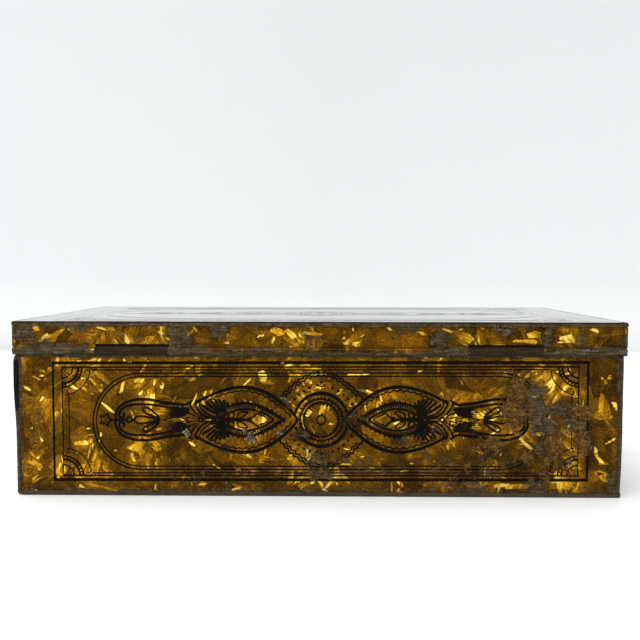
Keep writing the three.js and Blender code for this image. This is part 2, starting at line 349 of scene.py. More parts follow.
def bent_line(corners):
    """Points and outward normals along a line in plan, with a small bend at each corner."""
    corners = [np.array(corner, float) for corner in corners]
    path = [corners[0]]
    for before, corner, after in zip(corners, corners[1:], corners[2:]):
        into, out = corner - before, after - corner
        into, out = into / np.linalg.norm(into), out / np.linalg.norm(out)
        turn = into[0] * out[1] - into[1] * out[0]
        if abs(turn) < 1e-6:
            path.append(corner)
            continue
        centre = corner - into * BEND + np.sign(turn) * BEND * np.array((-into[1], into[0]))
        start = corner - into * BEND - centre
        for share in np.linspace(0, 1, 7):
            angle = np.sign(turn) * share * math.asin(min(1, abs(turn)))
            cos, sin = math.cos(angle), math.sin(angle)
            path.append(centre + (cos * start[0] - sin * start[1], sin * start[0] + cos * start[1]))
    path.append(corners[-1])
    fine = [path[0]]
    for start, end in zip(path, path[1:]):
        pieces = max(1, round(float(np.linalg.norm(end - start)) / SPACING))
        fine += [start + (end - start) * (i + 1) / pieces for i in range(pieces)]
    fine = np.array(fine)
    along = np.gradient(fine, axis=0)
    along /= np.linalg.norm(along, axis=1)[:, None]
    return fine, np.stack([along[:, 1], -along[:, 0]], axis=1)


def arc(start, end, steps):
    """The cosine and the sine of evenly spaced angles, which are given in degrees."""
    return [(math.cos(angle), math.sin(angle)) for angle in np.radians(np.linspace(start, end, steps))]


def make_piece(name, points, faces, along, up, side):
    """Makes a piece from points in mm. along and up say where each point was on the flat sheet."""
    mesh = bpy.data.meshes.new(name)
    faces = [tuple(int(i) for i in face) for face in faces]
    mesh.from_pydata((np.asarray(points, float) * MM).tolist(), [], faces)
    flat = np.zeros((len(points), 3), np.float32)
    flat[:, 0], flat[:, 1] = np.asarray(along) + SHEETS_APART * SIDES.index(side), up
    mesh.attributes.new("sheet_mm", "FLOAT_VECTOR", "POINT").data.foreach_set("vector", flat.ravel())
    piece = bpy.data.objects.new(name, mesh)
    bpy.context.collection.objects.link(piece)
    return piece


def thicken(piece, thickness=SHEET):
    """Gives a surface its thickness with Solidify, and makes the result its plain mesh.

    The three empty slots are for the materials of the outside, the inside and the edges.
    """
    for _ in range(3):
        piece.data.materials.append(None)
    solidify = piece.modifiers.new("thickness", "SOLIDIFY")
    solidify.thickness, solidify.offset = thickness * MM, 0.0
    solidify.use_even_offset = solidify.use_quality_normals = True
    solidify.material_offset, solidify.material_offset_rim = 1, 2
    bpy.context.view_layer.update()
    made = bpy.data.meshes.new_from_object(piece.evaluated_get(bpy.context.evaluated_depsgraph_get()))
    piece.modifiers.clear()
    flat, piece.data = piece.data, made
    bpy.data.meshes.remove(flat)
    made.name = piece.name
    made.shade_smooth()
    made.set_sharp_from_angle(angle=SHARP_FOLD)
    return piece


def strip_faces(rows, columns):
    """The four-sided faces of a grid of points that is numbered row by row."""
    corners = [row * columns + column for row in range(rows - 1) for column in range(columns - 1)]
    return [(i, i + 1, i + columns + 1, i + columns) for i in corners]


def sheet_from_rows(name, side, plan, outward, rows, shape, present):
    """A sheet whose rows are (inward offset, height), kept where present(x, y, z, row) holds in plan."""
    grid = shape(np.array([np.column_stack([plan - inward * outward, np.full(len(plan), z)])
                           for inward, z in rows]))
    middles = (plan[:-1] + plan[1:]) / 2
    row_z = np.array([(low[1] + high[1]) / 2 for low, high in zip(rows, rows[1:])])[:, None]
    kept = present(middles[None, :, 0], middles[None, :, 1], row_z, np.arange(len(rows) - 1)[:, None])
    along = np.concatenate([[0], np.cumsum(np.linalg.norm(np.diff(plan, axis=0), axis=1))])
    up = np.concatenate([[0], np.cumsum([math.dist(low, high) for low, high in zip(rows, rows[1:])])])
    face_row = next(i for i, (row, above) in enumerate(zip(rows, rows[1:])) if row[0] == above[0] == 0)
    along, up = along - along[-1] / 2, up - up[face_row] + rows[face_row][1]
    faces = np.array(strip_faces(len(rows), len(plan)))[kept.ravel()]
    used, faces = np.unique(faces, return_inverse=True)
    along, up = along[used % len(along)], up[used // len(along)]
    return make_piece(name, grid.reshape(-1, 3)[used], faces.reshape(-1, 4), along, up, side)


def heights(*stops):
    """Heights from the first stop to the last, no further apart than the spacing."""
    made = [stops[0]]
    for low, high in zip(stops, stops[1:]):
        pieces = max(1, math.ceil((high - low) / SPACING))
        made += [low + (high - low) * (i + 1) / pieces for i in range(pieces)]
    return made


# %% [markdown]
# Each wall of the body is one folded sheet. The back and front walls end in flanges that
# lap inside the end walls, and the end walls reach round each corner with a narrow strip,
# which is the upright seam one sees. Along the top every wall is curled inwards into a
# small round bead, so no sharp edge is left for fingers.
# %% Walls of the body
FACE_ROWS = [(0, z) for z in heights(WALL_FOOT, FOLD_Z, CURL_Z)]
WALL_ROWS = FACE_ROWS + [(CURL - CURL * cos, CURL_Z + CURL * sin) for cos, sin in arc(0, 250, 13)[1:]]
STRIP_END, CURL_END, CORNER_Y = 123.9, 70.95, 73.4


def long_wall(name, side):
    """The back wall, or the front wall before it is turned round to the front."""
    line, outward = bent_line([
        (-LAP_X, -WALL_Y + LAP), (-LAP_X, -WALL_Y), (LAP_X, -WALL_Y), (LAP_X, -WALL_Y + LAP)])

    def shape(grid):
        on_face = grid[..., 1] < -WALL_Y + 1.6
        grid[..., 1] -= swell(side, grid[..., 0], grid[..., 2]) * on_face
        if side == "back":
            grid[..., 0] += spread(grid[..., 0], grid[..., 2])
        return grid

    def present(x, y, z, row):
        return (row < len(FACE_ROWS) - 1) | (abs(x) < LAP_X - BEND)

    return sheet_from_rows(name, side, line, outward, WALL_ROWS, shape, present)


def end_wall(name, side):
    """The right wall, or the left wall before it is turned round to the left."""
    line, outward = bent_line([
        (STRIP_END, -STRIP_Y), (WALL_X, -STRIP_Y), (WALL_X, -CORNER_Y), (WALL_X, -CURL_END),
        (WALL_X, CURL_END), (WALL_X, CORNER_Y), (WALL_X, STRIP_Y), (STRIP_END, STRIP_Y)])

    def shape(grid):
        grid[..., 0] += swell(side, grid[..., 1], grid[..., 2])
        return grid

    def present(x, y, z, row):
        return np.where(row < len(FACE_ROWS) - 1, (abs(y) < CORNER_Y) | (z > FOLD_Z), abs(y) < CURL_END)

    return sheet_from_rows(name, side, line, outward, WALL_ROWS, shape, present)


walls = {"back": long_wall("back_wall_sheet", "back"), "front": long_wall("front_wall_sheet", "front"),
         "left": end_wall("left_end_wall_sheet", "left"), "right": end_wall("right_end_wall_sheet", "right")}
for side in ("front", "left"):
    walls[side].data.transform(Matrix.Rotation(math.pi, 4, "Z"))
for wall in walls.values():
    thicken(wall)
print("faces of the four walls:", [len(wall.data.polygons) for wall in walls.values()])

# %% [markdown]
# The bottom and the lid's top are shallow trays: a flat plate whose edge is turned over
# what it closes, with a small round shoulder. A grid makes the plate. Round it run rings
# that follow the shoulder and the flange, and at each corner they turn about one point,
# so the corner is as round as the pressed one.
# %% Bottom plate and lid top
TRAY_CORNER, TRAY_BEND, TRAY_FLAT = 0.85, 0.75, 0.1


def tray(name, side, half_x, half_y, height, foot, shape):
    """A plate at a height, with its edge turned over to a foot. The bottom's outside faces down."""
    rings = shoulder(height, foot, 1 if side == "top" else -1)
    inner_x, inner_y = half_x - TRAY_CORNER, half_y - TRAY_CORNER
    xs = np.linspace(-inner_x, inner_x, 2 * round(inner_x / 2) + 1)
    ys = np.linspace(-inner_y, inner_y, 2 * round(inner_y / 2) + 1)
    columns, lines = len(xs), len(ys)
    points = [(x, y, height) for y in ys for x in xs]
    faces = strip_faces(lines, columns)
    sides = [([(c, 0) for c in range(columns)], 270), ([(columns - 1, r) for r in range(lines)], 0),
             ([(c, lines - 1) for c in reversed(range(columns))], 90),
             ([(0, r) for r in reversed(range(lines))], 180)]
    edge = []
    for cells, angle in sides:
        edge += [(cell, angle) for cell in cells]
        edge += [(cells[-1], angle + turn) for turn in (15, 30, 45, 60, 75)]
    rings_made = [[line * columns + column for (column, line), angle in edge]]
    for distance, z in rings[1:]:
        rings_made.append(range(len(points), len(points) + len(edge)))
        for (column, line), angle in edge:
            turn = math.radians(angle)
            points.append((xs[column] + distance * math.cos(turn), ys[line] + distance * math.sin(turn), z))
    for inner, outer in zip(rings_made, rings_made[1:]):
        for i in range(len(edge)):
            j = (i + 1) % len(edge)
            face = [inner[i], outer[i], outer[j], inner[j]]
            faces.append(face[:3] if inner[i] == inner[j] else face)
    if side == "bottom":
        faces = [tuple(reversed(face)) for face in faces]
    points = np.array(points, float)
    flat_x, flat_y = points[:, :2].copy().T
    return thicken(make_piece(name, shape(points), faces, flat_x, flat_y, side))


def shoulder(height, foot, turn):
    """Rings round a tray as (distance out, height): the plate's edge, the bend and the flange."""
    bend = [
        (TRAY_FLAT + TRAY_BEND * sin, height - turn * TRAY_BEND * (1 - cos)) for cos, sin in arc(0, 90, 7)]
    flange = TRAY_FLAT + TRAY_BEND
    return [(0, height)] + bend + [(flange, (bend[-1][1] + foot) / 2), (flange, foot)]


def lid_top_shape(points):
    plate = points[:, 2] > 72.95
    points[:, 2] += np.where(plate, swell("top", points[:, 0], points[:, 1]), 0)
    return points


def bottom_shape(points):
    x, y = points[:, 0], points[:, 1]
    points[:, 0] += np.minimum(spread(x, 0.0), 0) * (1 - ease(y + 74, 0, 46))
    return points


lid_top = tray("lid_top_sheet", "top", TOP_X, TOP_Y, TOP_Z, TOP_FOOT, lid_top_shape)
bottom = tray("bottom_plate_sheet", "bottom", BOTTOM_X, BOTTOM_Y, BOTTOM_Z, BOTTOM_TOP, bottom_shape)
print("faces of the two trays:", len(lid_top.data.polygons), len(bottom.data.polygons))

# %% [markdown]
# The lid's rim is two strips. One runs along the front and both ends, with its lower edge
# hemmed back inside for stiffness. The other is the back of the rim: its lower edge is
# rolled outwards over the hinge wire and cut away where the two straps reach in. The
# printed side stays outside on the roll, and hands have rubbed it there more than elsewhere.
# %% Rim of the lid
HEM = [(2 * HEM_HALF, z) for z in (HEM_TOP, 61.6, 60.7, HEM_TURN)]
HEM += [(HEM_HALF + HEM_HALF * cos, HEM_TURN - HEM_HALF * sin) for cos, sin in arc(0, 180, 9)[1:]]
RIM_LAP_FOOT = 63.0
FRONT_Y, BACK_END_Y, LAP_END_Y, RIM_STRIP_END = 75.2, 75.0, 72.55, 125.5


def front_rim():
    line, outward = bent_line([
        (RIM_STRIP_END, -RIM_STRIP_Y), (RIM_X, -RIM_STRIP_Y), (RIM_X, -BACK_END_Y), (RIM_X, -LAP_END_Y),
        (RIM_X, BACK_END_Y), (RIM_X, RIM_Y), (-RIM_X, RIM_Y), (-RIM_X, BACK_END_Y), (-RIM_X, -LAP_END_Y),
        (-RIM_X, -BACK_END_Y), (-RIM_X, -RIM_STRIP_Y), (-RIM_STRIP_END, -RIM_STRIP_Y)])
    rows = HEM + [(0, z) for z in heights(HEM_TURN, RIM_LAP_FOOT, RIM_LAP_TOP, RIM_TOP)[1:]]

    def shape(grid):
        x, y, z = np.moveaxis(grid, -1, 0)
        bow = 0.12 * ease(z, 60, 64) * ease(71.5 - z, 0, 3) * np.sin(x / 17 + 1) * ease(122 - abs(x), 0, 12)
        grid[..., 1] += np.where(y > FRONT_Y, bow, 0)
        return grid

    def present(x, y, z, row):
        hemmed = ((y > FRONT_Y) & (abs(x) < 126.4)) | ((y > -LAP_END_Y) & (y < BACK_END_Y))
        face = np.where(y < -BACK_END_Y, (z > RIM_LAP_FOOT) & (z < RIM_LAP_TOP), True)
        return np.where(row < len(HEM) - 1, hemmed, face)

    return thicken(sheet_from_rows("lid_front_rim_sheet", "front rim", line, outward, rows, shape, present))


def rim_wave(x, z):
    """How far the back of the rim stands out from flat, in mm."""
    fade = ease(z, 63.5, 66) * ease(71.5 - z, 0, 3) * ease(120 - abs(x), 0, 12)
    return 0.1 * fade * np.sin(x / 13 + 0.4)


CREASE = 0.45
NOTCH_HALF = STRAP_HALF + 0.3


def back_rim():
    notches = [middle + way * NOTCH_HALF for middle in (-STRAP_X, STRAP_X) for way in (-1, 1)]
    corners = [(-RIM_LAP_X, -RIM_Y + LAP), (-RIM_LAP_X, -RIM_Y)] + [(x, -RIM_Y) for x in notches]
    line, outward = bent_line(corners + [(RIM_LAP_X, -RIM_Y), (RIM_LAP_X, -RIM_Y + LAP)])
    from_wire = -RIM_Y - WIRE_Y
    roll_top = WIRE_Z + ROLL_RADIUS
    rolled = [(ROLL_RADIUS * cos - from_wire, WIRE_Z + ROLL_RADIUS * sin) for cos, sin in arc(372, 90, 25)]
    rolled += [(CREASE * (sin - 1), roll_top + CREASE * (1 - cos)) for cos, sin in arc(0, 90, 4)]
    rows = rolled + [(0, z) for z in heights(roll_top + CREASE, NOTCH_TOP, RIM_TOP)[1:]]

    def shape(grid):
        grid[..., 1] -= np.where(grid[..., 1] < -75.7, rim_wave(grid[..., 0], grid[..., 2]), 0)
        return grid

    def present(x, y, z, row):
        cut = (abs(abs(x) - STRAP_X) < NOTCH_HALF) & (z < NOTCH_TOP)
        return np.where(row < len(rolled) - 1, (abs(x) < RIM_LAP_X - BEND) & ~cut, ~cut)

    return thicken(sheet_from_rows("lid_back_rim_sheet", "back rim", line, outward, rows, shape, present))


rims = {"front": front_rim(), "back": back_rim()}
print("faces of the rim:", [len(rim.data.polygons) for rim in rims.values()])

# %% [markdown]
# Two short straps of thicker sheet hold the wire. Each has a leaf that is soldered flat to
# the back wall under the lid, and a knuckle that comes out below the wire and goes round
# it. The knuckles are the two darker lengths in the roll, with a slot at each end.
# %% Hinge straps
LEAF_Y, LEAF_TOP = -74.7, 70.1
MEET_TURN = math.radians(40)
STRAP_COLUMNS = 16


def hinge_strap(name, middle):
    """The profile is (y, z) from the wire's axis: round the wire, a short bend, and up the leaf."""
    leaf_y = LEAF_Y - WIRE_Y
    meet = KNUCKLE * np.array((math.cos(MEET_TURN), -math.sin(MEET_TURN)))
    link = (leaf_y - meet[0]) / math.sin(MEET_TURN)
    low_leaf = np.array((leaf_y, meet[1] + link * math.cos(MEET_TURN)))
    knuckle = [KNUCKLE * np.array(direction) for direction in arc(-330, -40, 29)]
    bend = [low_leaf + (meet - low_leaf) * 0.3, low_leaf + (meet - low_leaf) * 0.1 + (0, 0.04),
            low_leaf + (-0.02, 0.25)]
    leaf = [(leaf_y, z) for z in np.linspace(low_leaf[1] + 0.55, LEAF_TOP - WIRE_Z, 6)]
    profile = knuckle + bend + leaf
    columns = np.linspace(middle - STRAP_HALF, middle + STRAP_HALF, STRAP_COLUMNS)
    points = [(x, y + WIRE_Y, z + WIRE_Z) for y, z in profile for x in columns]
    faces = strip_faces(len(profile), STRAP_COLUMNS)
    along, up = zip(*[(x, row * 0.4) for row in range(len(profile)) for x in columns])
    return thicken(make_piece(name, points, faces, along, up, "strap"), STRAP_SHEET)


straps = {side: hinge_strap(side + "_hinge_strap_sheet", middle)
          for side, middle in (("left", -STRAP_X), ("right", STRAP_X))}
print("lowest point of a knuckle:", round(min(v.co.z for v in straps["left"].data.vertices) / MM, 2), "mm")

# %% [markdown]
# Wear is not spread evenly. Folds, seams and the lid's edges are rubbed down to grey
# metal, rust has eaten one side of the back, and the middle of each panel is fair. Each
# piece stores at its points how far it goes bare and how rusty it is, as two numbers
# worked out from where the point lies. Above 1 the first paints the surface black: painted
# shadow under the lid's roll and in the gaping seam, and a thin line along the lid top's
# edge. The materials break their soft edges up with noise.
# %% Where the tin is bare, and where shade is painted black
GREY_PATCHES = [  # on the back: along, up, half length, half height, how worn
    (90, 39, 5.5, 10, 0.72), (94, 29, 7, 5, 0.68), (101, 37, 7, 4.5, 0.62), (106, 31, 6, 6, 0.56),
    (92, 22, 6, 5, 0.52), (102, 16, 5, 4, 0.52), (72, 21, 9, 5, 0.50), (62, 4, 10, 4, 0.58),
    (91, 5, 5, 4, 0.64), (121, 30, 3, 4, 0.42), (1, 17, 10, 5, 0.48), (0, 10, 9, 3.5, 0.56),
    (-13, 38, 2, 1.5, 0.6), (112, 24, 4, 12, 0.5), (20, 13, 14, 4, 0.46), (123, 6, 3.5, 7, 0.72),
    (-96, 60, 20, 3, 0.5), (36, 24, 4, 3, 0.5), (-60, 14, 3, 2, 0.42), (-8, 26, 8, 3, 0.42),
    (-118, 31, 3, 9, 0.42), (48, 27, 9, 3, 0.42), (60, 12, 26, 8, 0.4), (-50, 8, 20, 3, 0.36),
    (124, 52, 2, 9, 0.55), (15, 33, 6, 4, 0.46)]
RUST_PATCHES = [
    (82, 37, 7, 11, 0.66), (82, 47, 4, 5, 0.66), (98, 19, 5, 7, 0.66), (109, 36, 5, 4, 0.56),
    (109, 24, 4, 9, 0.6), (71, 21.5, 8, 4, 0.56), (93, 8.5, 4, 3.5, 0.62), (110.5, 3, 3, 3, 0.54),
    (62, 12, 3, 3, 0.46), (7, 16, 8, 3, 0.44), (88, 18, 5, 4, 0.5), (-40, 20, 3, 2, 0.36),
    (104, 11, 4, 4, 0.46)]
RIM_PATCHES = [
    (-122, 69, 4, 5, 0.8), (-100, 71, 6, 3, 0.66), (-107, 63.5, 14, 1.6, 0.72), (-58, 67, 6, 6, 0.78),
    (-41, 69, 4, 4, 0.74), (-52, 62, 10, 2, 0.7), (-3, 66, 4, 5, 0.5), (-24, 62, 24, 1.2, 0.5),
    (36, 70, 5, 3, 0.6), (50, 66, 5, 5, 0.66), (56, 62, 12, 1.6, 0.74), (76, 70, 4, 3.5, 0.66),
    (94, 67, 3, 5, 0.72), (108, 66, 3, 5, 0.6), (119, 61.5, 8, 2, 0.85), (126, 66, 2, 4, 0.6),
    (-84, 67, 34, 9, 0.3)]
BACK_FRONT_Y, RIM_FRONT_Y = -73.9, -75.4
LID_EDGE_X, LID_EDGE_Y = 127.3, 76.3
# Wear above 1 paints black: painted shadow under the roll and in the gaping seam, and the line along the lid
# top's edge.
PAINTED_BLACK_LEVEL = 1.5


def patch_share(points, patches, front_y):
    """How strongly patches on the hinge side cover each point, in front of a plane."""
    x, y, z = points.T
    share = np.zeros(len(points))
    for u, v, half_u, half_v, amount in patches:
        away = ((x - u) / half_u) ** 2 + ((z - v) / half_v) ** 2
        share = np.maximum(share, amount * np.exp(-0.6 * away ** 1.5))
    return share * (y < front_y)


def body_wear(points):
    """How far each point goes bare, from 0 to 1, and above 1 it is bare and painted black: painted shadow
    under the lid's roll and in the gaping seam.
    """
    x, y, z = points.T
    from_seam = np.hypot(np.maximum(WALL_FACE_X - abs(x), 0), np.maximum(STRIP_Y + SHEET / 2 - abs(y), 0))
    # Painted shadow: the back wall just below the lid's roll, where the roll shades it, is painted black.
    under_roll = ease(z, 57.8, 58.4) * (y < BACK_FRONT_Y) * (z < 64)
    # Painted shade: where the left seam gapes, its strip is painted black for the dark gap.
    gaping = ease(z, 30, 38) * (1 - ease(z, 57, 59)) * (x < -124.2) * (y < -74.1)
    return np.maximum.reduce([
        0.8 * (1 - ease(from_seam, 0.8, 3.0)), 0.75 * (1 - ease(z, 1.5, 3.4)), 0.9 * ease(z, 69, 71),
        0.3 * (1 - ease(z, 5.5, 8)), patch_share(points, GREY_PATCHES, BACK_FRONT_Y),
        PAINTED_BLACK_LEVEL * under_roll, PAINTED_BLACK_LEVEL * gaping])


def lid_wear(points):
    """The same for the lid, where above 1 paints a thin black line along the rounded edge of the top."""
    x, y, z = points.T
    from_seam = np.hypot(np.maximum(RIM_X + SHEET / 2 - abs(x), 0), np.maximum(LID_EDGE_Y - abs(y), 0))
    from_edge = np.minimum(LID_EDGE_X - abs(x), LID_EDGE_Y - abs(y))
    flange = (abs(x) > 126) | (abs(y) > 75.3)
    # The roll is worn by hands, and below 61.2 mm its underside is made darker still as painted shade.
    roll_wear_and_shade = 0.34 + 0.28 * ease(abs(x + 2), 42, 60) + 0.5 * (1 - ease(z, 60.0, 61.2))
    # A thin black line is painted along the rounded edge of the lid's top.
    fold = ease(z, 72.45, 72.75) * (1 - ease(z, 72.95, 73.06)) * (from_edge < 0.7)
    return np.maximum.reduce([
        0.7 * (1 - ease(from_seam, 0.5, 1.8)), 0.85 * (1 - ease(z, 59.6, 61.2)) * (z < 64) * (y > -75),
        0.85 * ease(z, 70.0, 72.0) * flange, 0.7 * (1 - ease(from_edge, 0.4, 2.2)) * (z > 72.6),
        patch_share(points, RIM_PATCHES, RIM_FRONT_Y), roll_wear_and_shade * (y < -76.2) * (z < 62.9), PAINTED_BLACK_LEVEL * fold])


def places(mesh):
    """The mesh's points, in mm."""
    points = np.empty(len(mesh.vertices) * 3)
    mesh.vertices.foreach_get("co", points)
    return points.reshape(-1, 3) / MM


def store(mesh, name, values):
    mesh.attributes.new(name, "FLOAT", "POINT").data.foreach_set("value", np.asarray(values, np.float32))


def paint_wear(mesh, body):
    points = places(mesh)
    store(mesh, "wear_and_black", body_wear(points) if body == "tin_body" else lid_wear(points))
    store(mesh, "rust", patch_share(points, RUST_PATCHES, BACK_FRONT_Y) * (body == "tin_body"))


# %% [markdown]
# The gold is frosted tinplate under amber lacquer: the tin froze into crystals of a few
# millimetres, some with parallel needles, some like feathers round a centre, and each
# catches the light its own way. Voronoi cells give each crystal its place and a random
# direction. Noise squeezed along that direction gives the needles, noise on the direction
# from the centre gives the feathers, and a colour ramp turns the sum into lacquer colours.
# The pattern is the tin's own, but how bright each crystal is stands for how it catches the
# light: its glints are painted into the colour as painted highlights.
# %% Gold lacquer over frosted tin
def picture_stops(*rows):
    return [(place, colour(*shade)) for place, *shade in rows]


BARE_STOPS = picture_stops((0.36, 42, 32, 18), (0.46, 66, 54, 34), (0.55, 86, 74, 52), (0.66, 122, 116, 104))
RUST_STOPS = picture_stops((0.35, 38, 28, 14), (0.43, 66, 45, 19), (0.51, 98, 63, 22), (0.64, 138, 98, 46))
# The pale upper stops paint the crystals' glints into the gold as painted highlights.
GOLD_STOPS = picture_stops(
    (0.00, 40, 25, 0), (0.20, 72, 48, 0), (0.36, 102, 70, 2), (0.50, 132, 93, 8),
    (0.64, 168, 122, 18), (0.78, 210, 160, 26), (0.90, 242, 200, 44), (1.00, 255, 234, 112))
INK_BLACK, DARK_BROWN, CHIP_TAN = colour(5, 4, 2), colour(24, 17, 9), colour(134, 98, 58)
DULL_SILVER, BRIGHT_SILVER = colour(62, 52, 36), colour(188, 180, 156)
TAN, BARE = 2.0, 3.0  # a flash of so much is a chip: down to the tan undercoat, or down to bare tin


def flat_cells(tree, place, scale):
    """Voronoi cells in the sheet: three random numbers for each cell, its centre, and the distance to it."""
    inputs = {"Vector": place, "Scale": scale}
    cells = node(tree, "ShaderNodeTexVoronoi", inputs, voronoi_dimensions="2D").outputs
    return split(tree, cells["Color"]), cells["Position"], cells["Distance"]


def turned(tree, place, turns):
    inputs = {"Vector": place, "Angle": times(tree, turns, 2 * math.pi)}
    return node(tree, "ShaderNodeVectorRotate", inputs, rotation_type="Z_AXIS").outputs[0]


def rare_flash(tree, place, squeeze, limit, width, middle):
    """Cells along the needles: how bright the few are that shine alone, and the chance of each cell."""
    chance, _, _ = flat_cells(tree, vectors(tree, "MULTIPLY", place, squeeze), 1.0)
    shining = maths(tree, "GREATER_THAN", chance[1], limit)
    return times(tree, shining, centred(tree, chance[2], width, middle)), chance[0]


def crystals(tree):
    """How brightly the tin shines at each place on the sheet, how orange it is, and its needles."""
    place = stored(tree, "sheet_mm", "Vector")
    wavy = noise(tree, place, 0.25, 1, flat=True, output="Color")
    drift = vectors(tree, "SUBTRACT", wavy, (0.5, 0.5, 0.5))
    place = vectors(tree, "ADD", place, scaled(tree, drift, 1.2))
    grain, centre, away = flat_cells(tree, place, 0.115)
    facet, _, _ = flat_cells(tree, turned(tree, place, 0.13), 0.23)
    along = turned(tree, place, grain[0])

    spoke = split(tree, vectors(tree, "SUBTRACT", place, centre))
    round_about = times(tree, maths(tree, "ARCTAN2", spoke[1], spoke[0]), 9.0)
    fan = node(tree, "ShaderNodeCombineXYZ", {0: times(tree, away, 2.5), 1: round_about}).outputs[0]
    fan = vectors(tree, "ADD", fan, scaled(tree, centre, 3.1))
    ways = {0: step(tree, grain[1], 0.76, 0.78), 4: vectors(tree, "MULTIPLY", along, (0.14, 2.3, 1)), 5: fan}
    needle_way = node(tree, "ShaderNodeMix", ways, data_type="VECTOR").outputs[1]
    needles = noise(tree, needle_way, 1.0, 2, 0.6, flat=True)

    lively = step(tree, noise(tree, place, 0.05, 2, flat=True), 0.47, 0.62)
    rare = sloped(tree, lively, -0.055, 0.992)
    bright_lath, lath = rare_flash(tree, along, (0.15, 0.60, 1), rare, 0.25, 0.28)
    bright_sliver, _ = rare_flash(tree, along, (0.24, 1.25, 1), rare, 0.5, 0.38)
    streaks = times(tree, maths(tree, "SUBTRACT", needles, 0.5), sloped(tree, lively, 0.45, 0.32))
    broad_streaks = times(tree, maths(tree, "POWER", lath, 3.0), sloped(tree, lively, 0.22, 0.10))
    sparkle = centred(tree, noise(tree, place, 1.3, 4, 0.75, flat=True), 0.75, 0.0)
    shine = add_up(
        tree, centred(tree, grain[2], 0.26, 0.28), centred(tree, facet[0], 0.16, 0.0),
        centred(tree, lively, 0.10, 0.03), streaks, broad_streaks, bright_lath, bright_sliver, sparkle)
    return shine, facet[1], needles


def wear_masks(tree, place):
    """How much wear and painted black there is, and masks from 0 to 1 for bare metal, rust, small dark pits
    and the painted black, and three mottlings.
    """
    rust = stored(tree, "rust")
    wear_and_black = most(tree, stored(tree, "wear_and_black"), times(tree, rust, 0.85))
    broad, fine = noise(tree, place, 0.28, 3, 0.6), noise(tree, place, 1.7, 3, 0.65)
    scaly, blotched = noise(tree, place, 1.0, 4, 0.75), noise(tree, place, 0.55, 3, 0.65)
    scratched = noise(tree, vectors(tree, "MULTIPLY", place, (0.16, 0.16, 1.5)), 1.0, 2, 0.6)
    bareness = add_up(tree, centred(tree, broad, 1.2, 0.0), centred(tree, fine, 0.9, 0.0), wear_and_black)
    rustiness = add_up(tree, rust, centred(tree, scaly, 1.5, 0.0), centred(tree, broad, 1.7, 0.0))
    grey, rusty = step(tree, bareness, 0.40, 0.62), step(tree, rustiness, 0.36, 0.74)
    mottle = add_up(tree, centred(tree, fine, 0.35, 0.175), centred(tree, blotched, 0.35, 0.175),
                    centred(tree, scratched, 0.45, 0.15))
    pits = node(tree, "ShaderNodeTexVoronoi", {"Vector": place, "Scale": 0.75}).outputs
    pit_size = centred(tree, split(tree, pits["Color"])[0], 0.95, -0.15)
    pit = step(tree, maths(tree, "SUBTRACT", pit_size, pits["Distance"]), -0.03, 0.03)
    return wear_and_black, grey, rusty, pit, step(tree, wear_and_black, 1.02, 1.35), fine, mottle, scaly


def lacquered(name, ink=False, coat=0.08, gloss=0.08):
    """The printed outside of the sheet: gold lacquer, or the black ink that lies on it."""
    material, tree, shader = new_material(name)
    shine, orange, needles = crystals(tree)
    wear_and_black, grey, rusty, pit, dirt, fine, mottle, scaly = wear_masks(tree, place_in_mm(tree))
    # The slips' flash is a painted highlight that raises the shine, and so the gold's colour; values of 2 and
    # 3 mark chips instead.
    flash = stored(tree, "flash")
    flaked = maths(tree, "GREATER_THAN", flash, TAN - 0.5)
    flaked_bare = maths(tree, "GREATER_THAN", flash, BARE - 0.5)
    flash_here = times(tree, flash, sloped(tree, needles, 1.1, 0.42))
    shine = maths(tree, "MAXIMUM", shine, flash_here, clamp=True)

    gold = colour_ramp(tree, shine, GOLD_STOPS)
    gold = mix(tree, times(tree, orange, 0.6), gold, vectors(tree, "MULTIPLY", gold, (1.12, 0.82, 0.45)))
    dulled = vectors(tree, "MULTIPLY", gold, (0.42, 0.38, 0.5))
    gold = mix(tree, times(tree, step(tree, wear_and_black, 0.08, 0.5), 0.75), gold, dulled)
    if ink:
        gold = mix(tree, 0.985, gold, INK_BLACK)
    rust_tone = add_up(tree, centred(tree, scaly, 0.8, 0.4), centred(tree, mottle, 0.8, 0.1))
    surface = mix(tree, grey, gold, colour_ramp(tree, mottle, BARE_STOPS))
    surface = mix(tree, rusty, surface, colour_ramp(tree, rust_tone, RUST_STOPS))
    # Dark brown for the pits, and for what is painted black: painted shadow under the roll and in the seam's
    # gap, and the line along the lid top's edge.
    surface = mix(tree, most(tree, pit, dirt), surface, DARK_BROWN)
    surface = mix(tree, flaked, surface, CHIP_TAN)
    silver = mix(tree, step(tree, fine, 0.48, 0.68), DULL_SILVER, BRIGHT_SILVER)
    surface = mix(tree, flaked_bare, surface, silver)

    off = most(tree, most(tree, grey, rusty), flaked)
    metal = blend(tree, grey, 0.0 if ink else 1.0, 0.3)
    not_metal = maths(tree, "MINIMUM", add_up(tree, rusty, pit, flaked, dirt), 1.0)
    relief = maths(tree, "ADD", times(tree, shine, 0.35), times(tree, times(tree, off, fine), 2.0))
    relief = maths(tree, "SUBTRACT", relief, times(tree, off, 0.5))
    set_inputs(shader, {
        "Base Color": surface, "Metallic": blend(tree, not_metal, metal, 0.0),
        "Roughness": blend(tree, off, sloped(tree, shine, -0.12, 0.42), 0.68),
        "Coat Weight": blend(tree, off, coat, 0.0), "Coat Roughness": 0.08, "Specular IOR Level": gloss,
        "Normal": bumped(tree, relief, 0.35, 0.00006)})
    return material


gold_lacquer = lacquered("gold_lacquer_outside")
top_lacquer = lacquered("gold_lacquer_top", coat=1.0)
black_ink = lacquered("black_print", ink=True, coat=0.02, gloss=0.04)
black_ink_top = lacquered("black_print_top", ink=True, coat=1.0, gloss=0.6)
print("nodes in the gold lacquer:", len(gold_lacquer.node_tree.nodes))

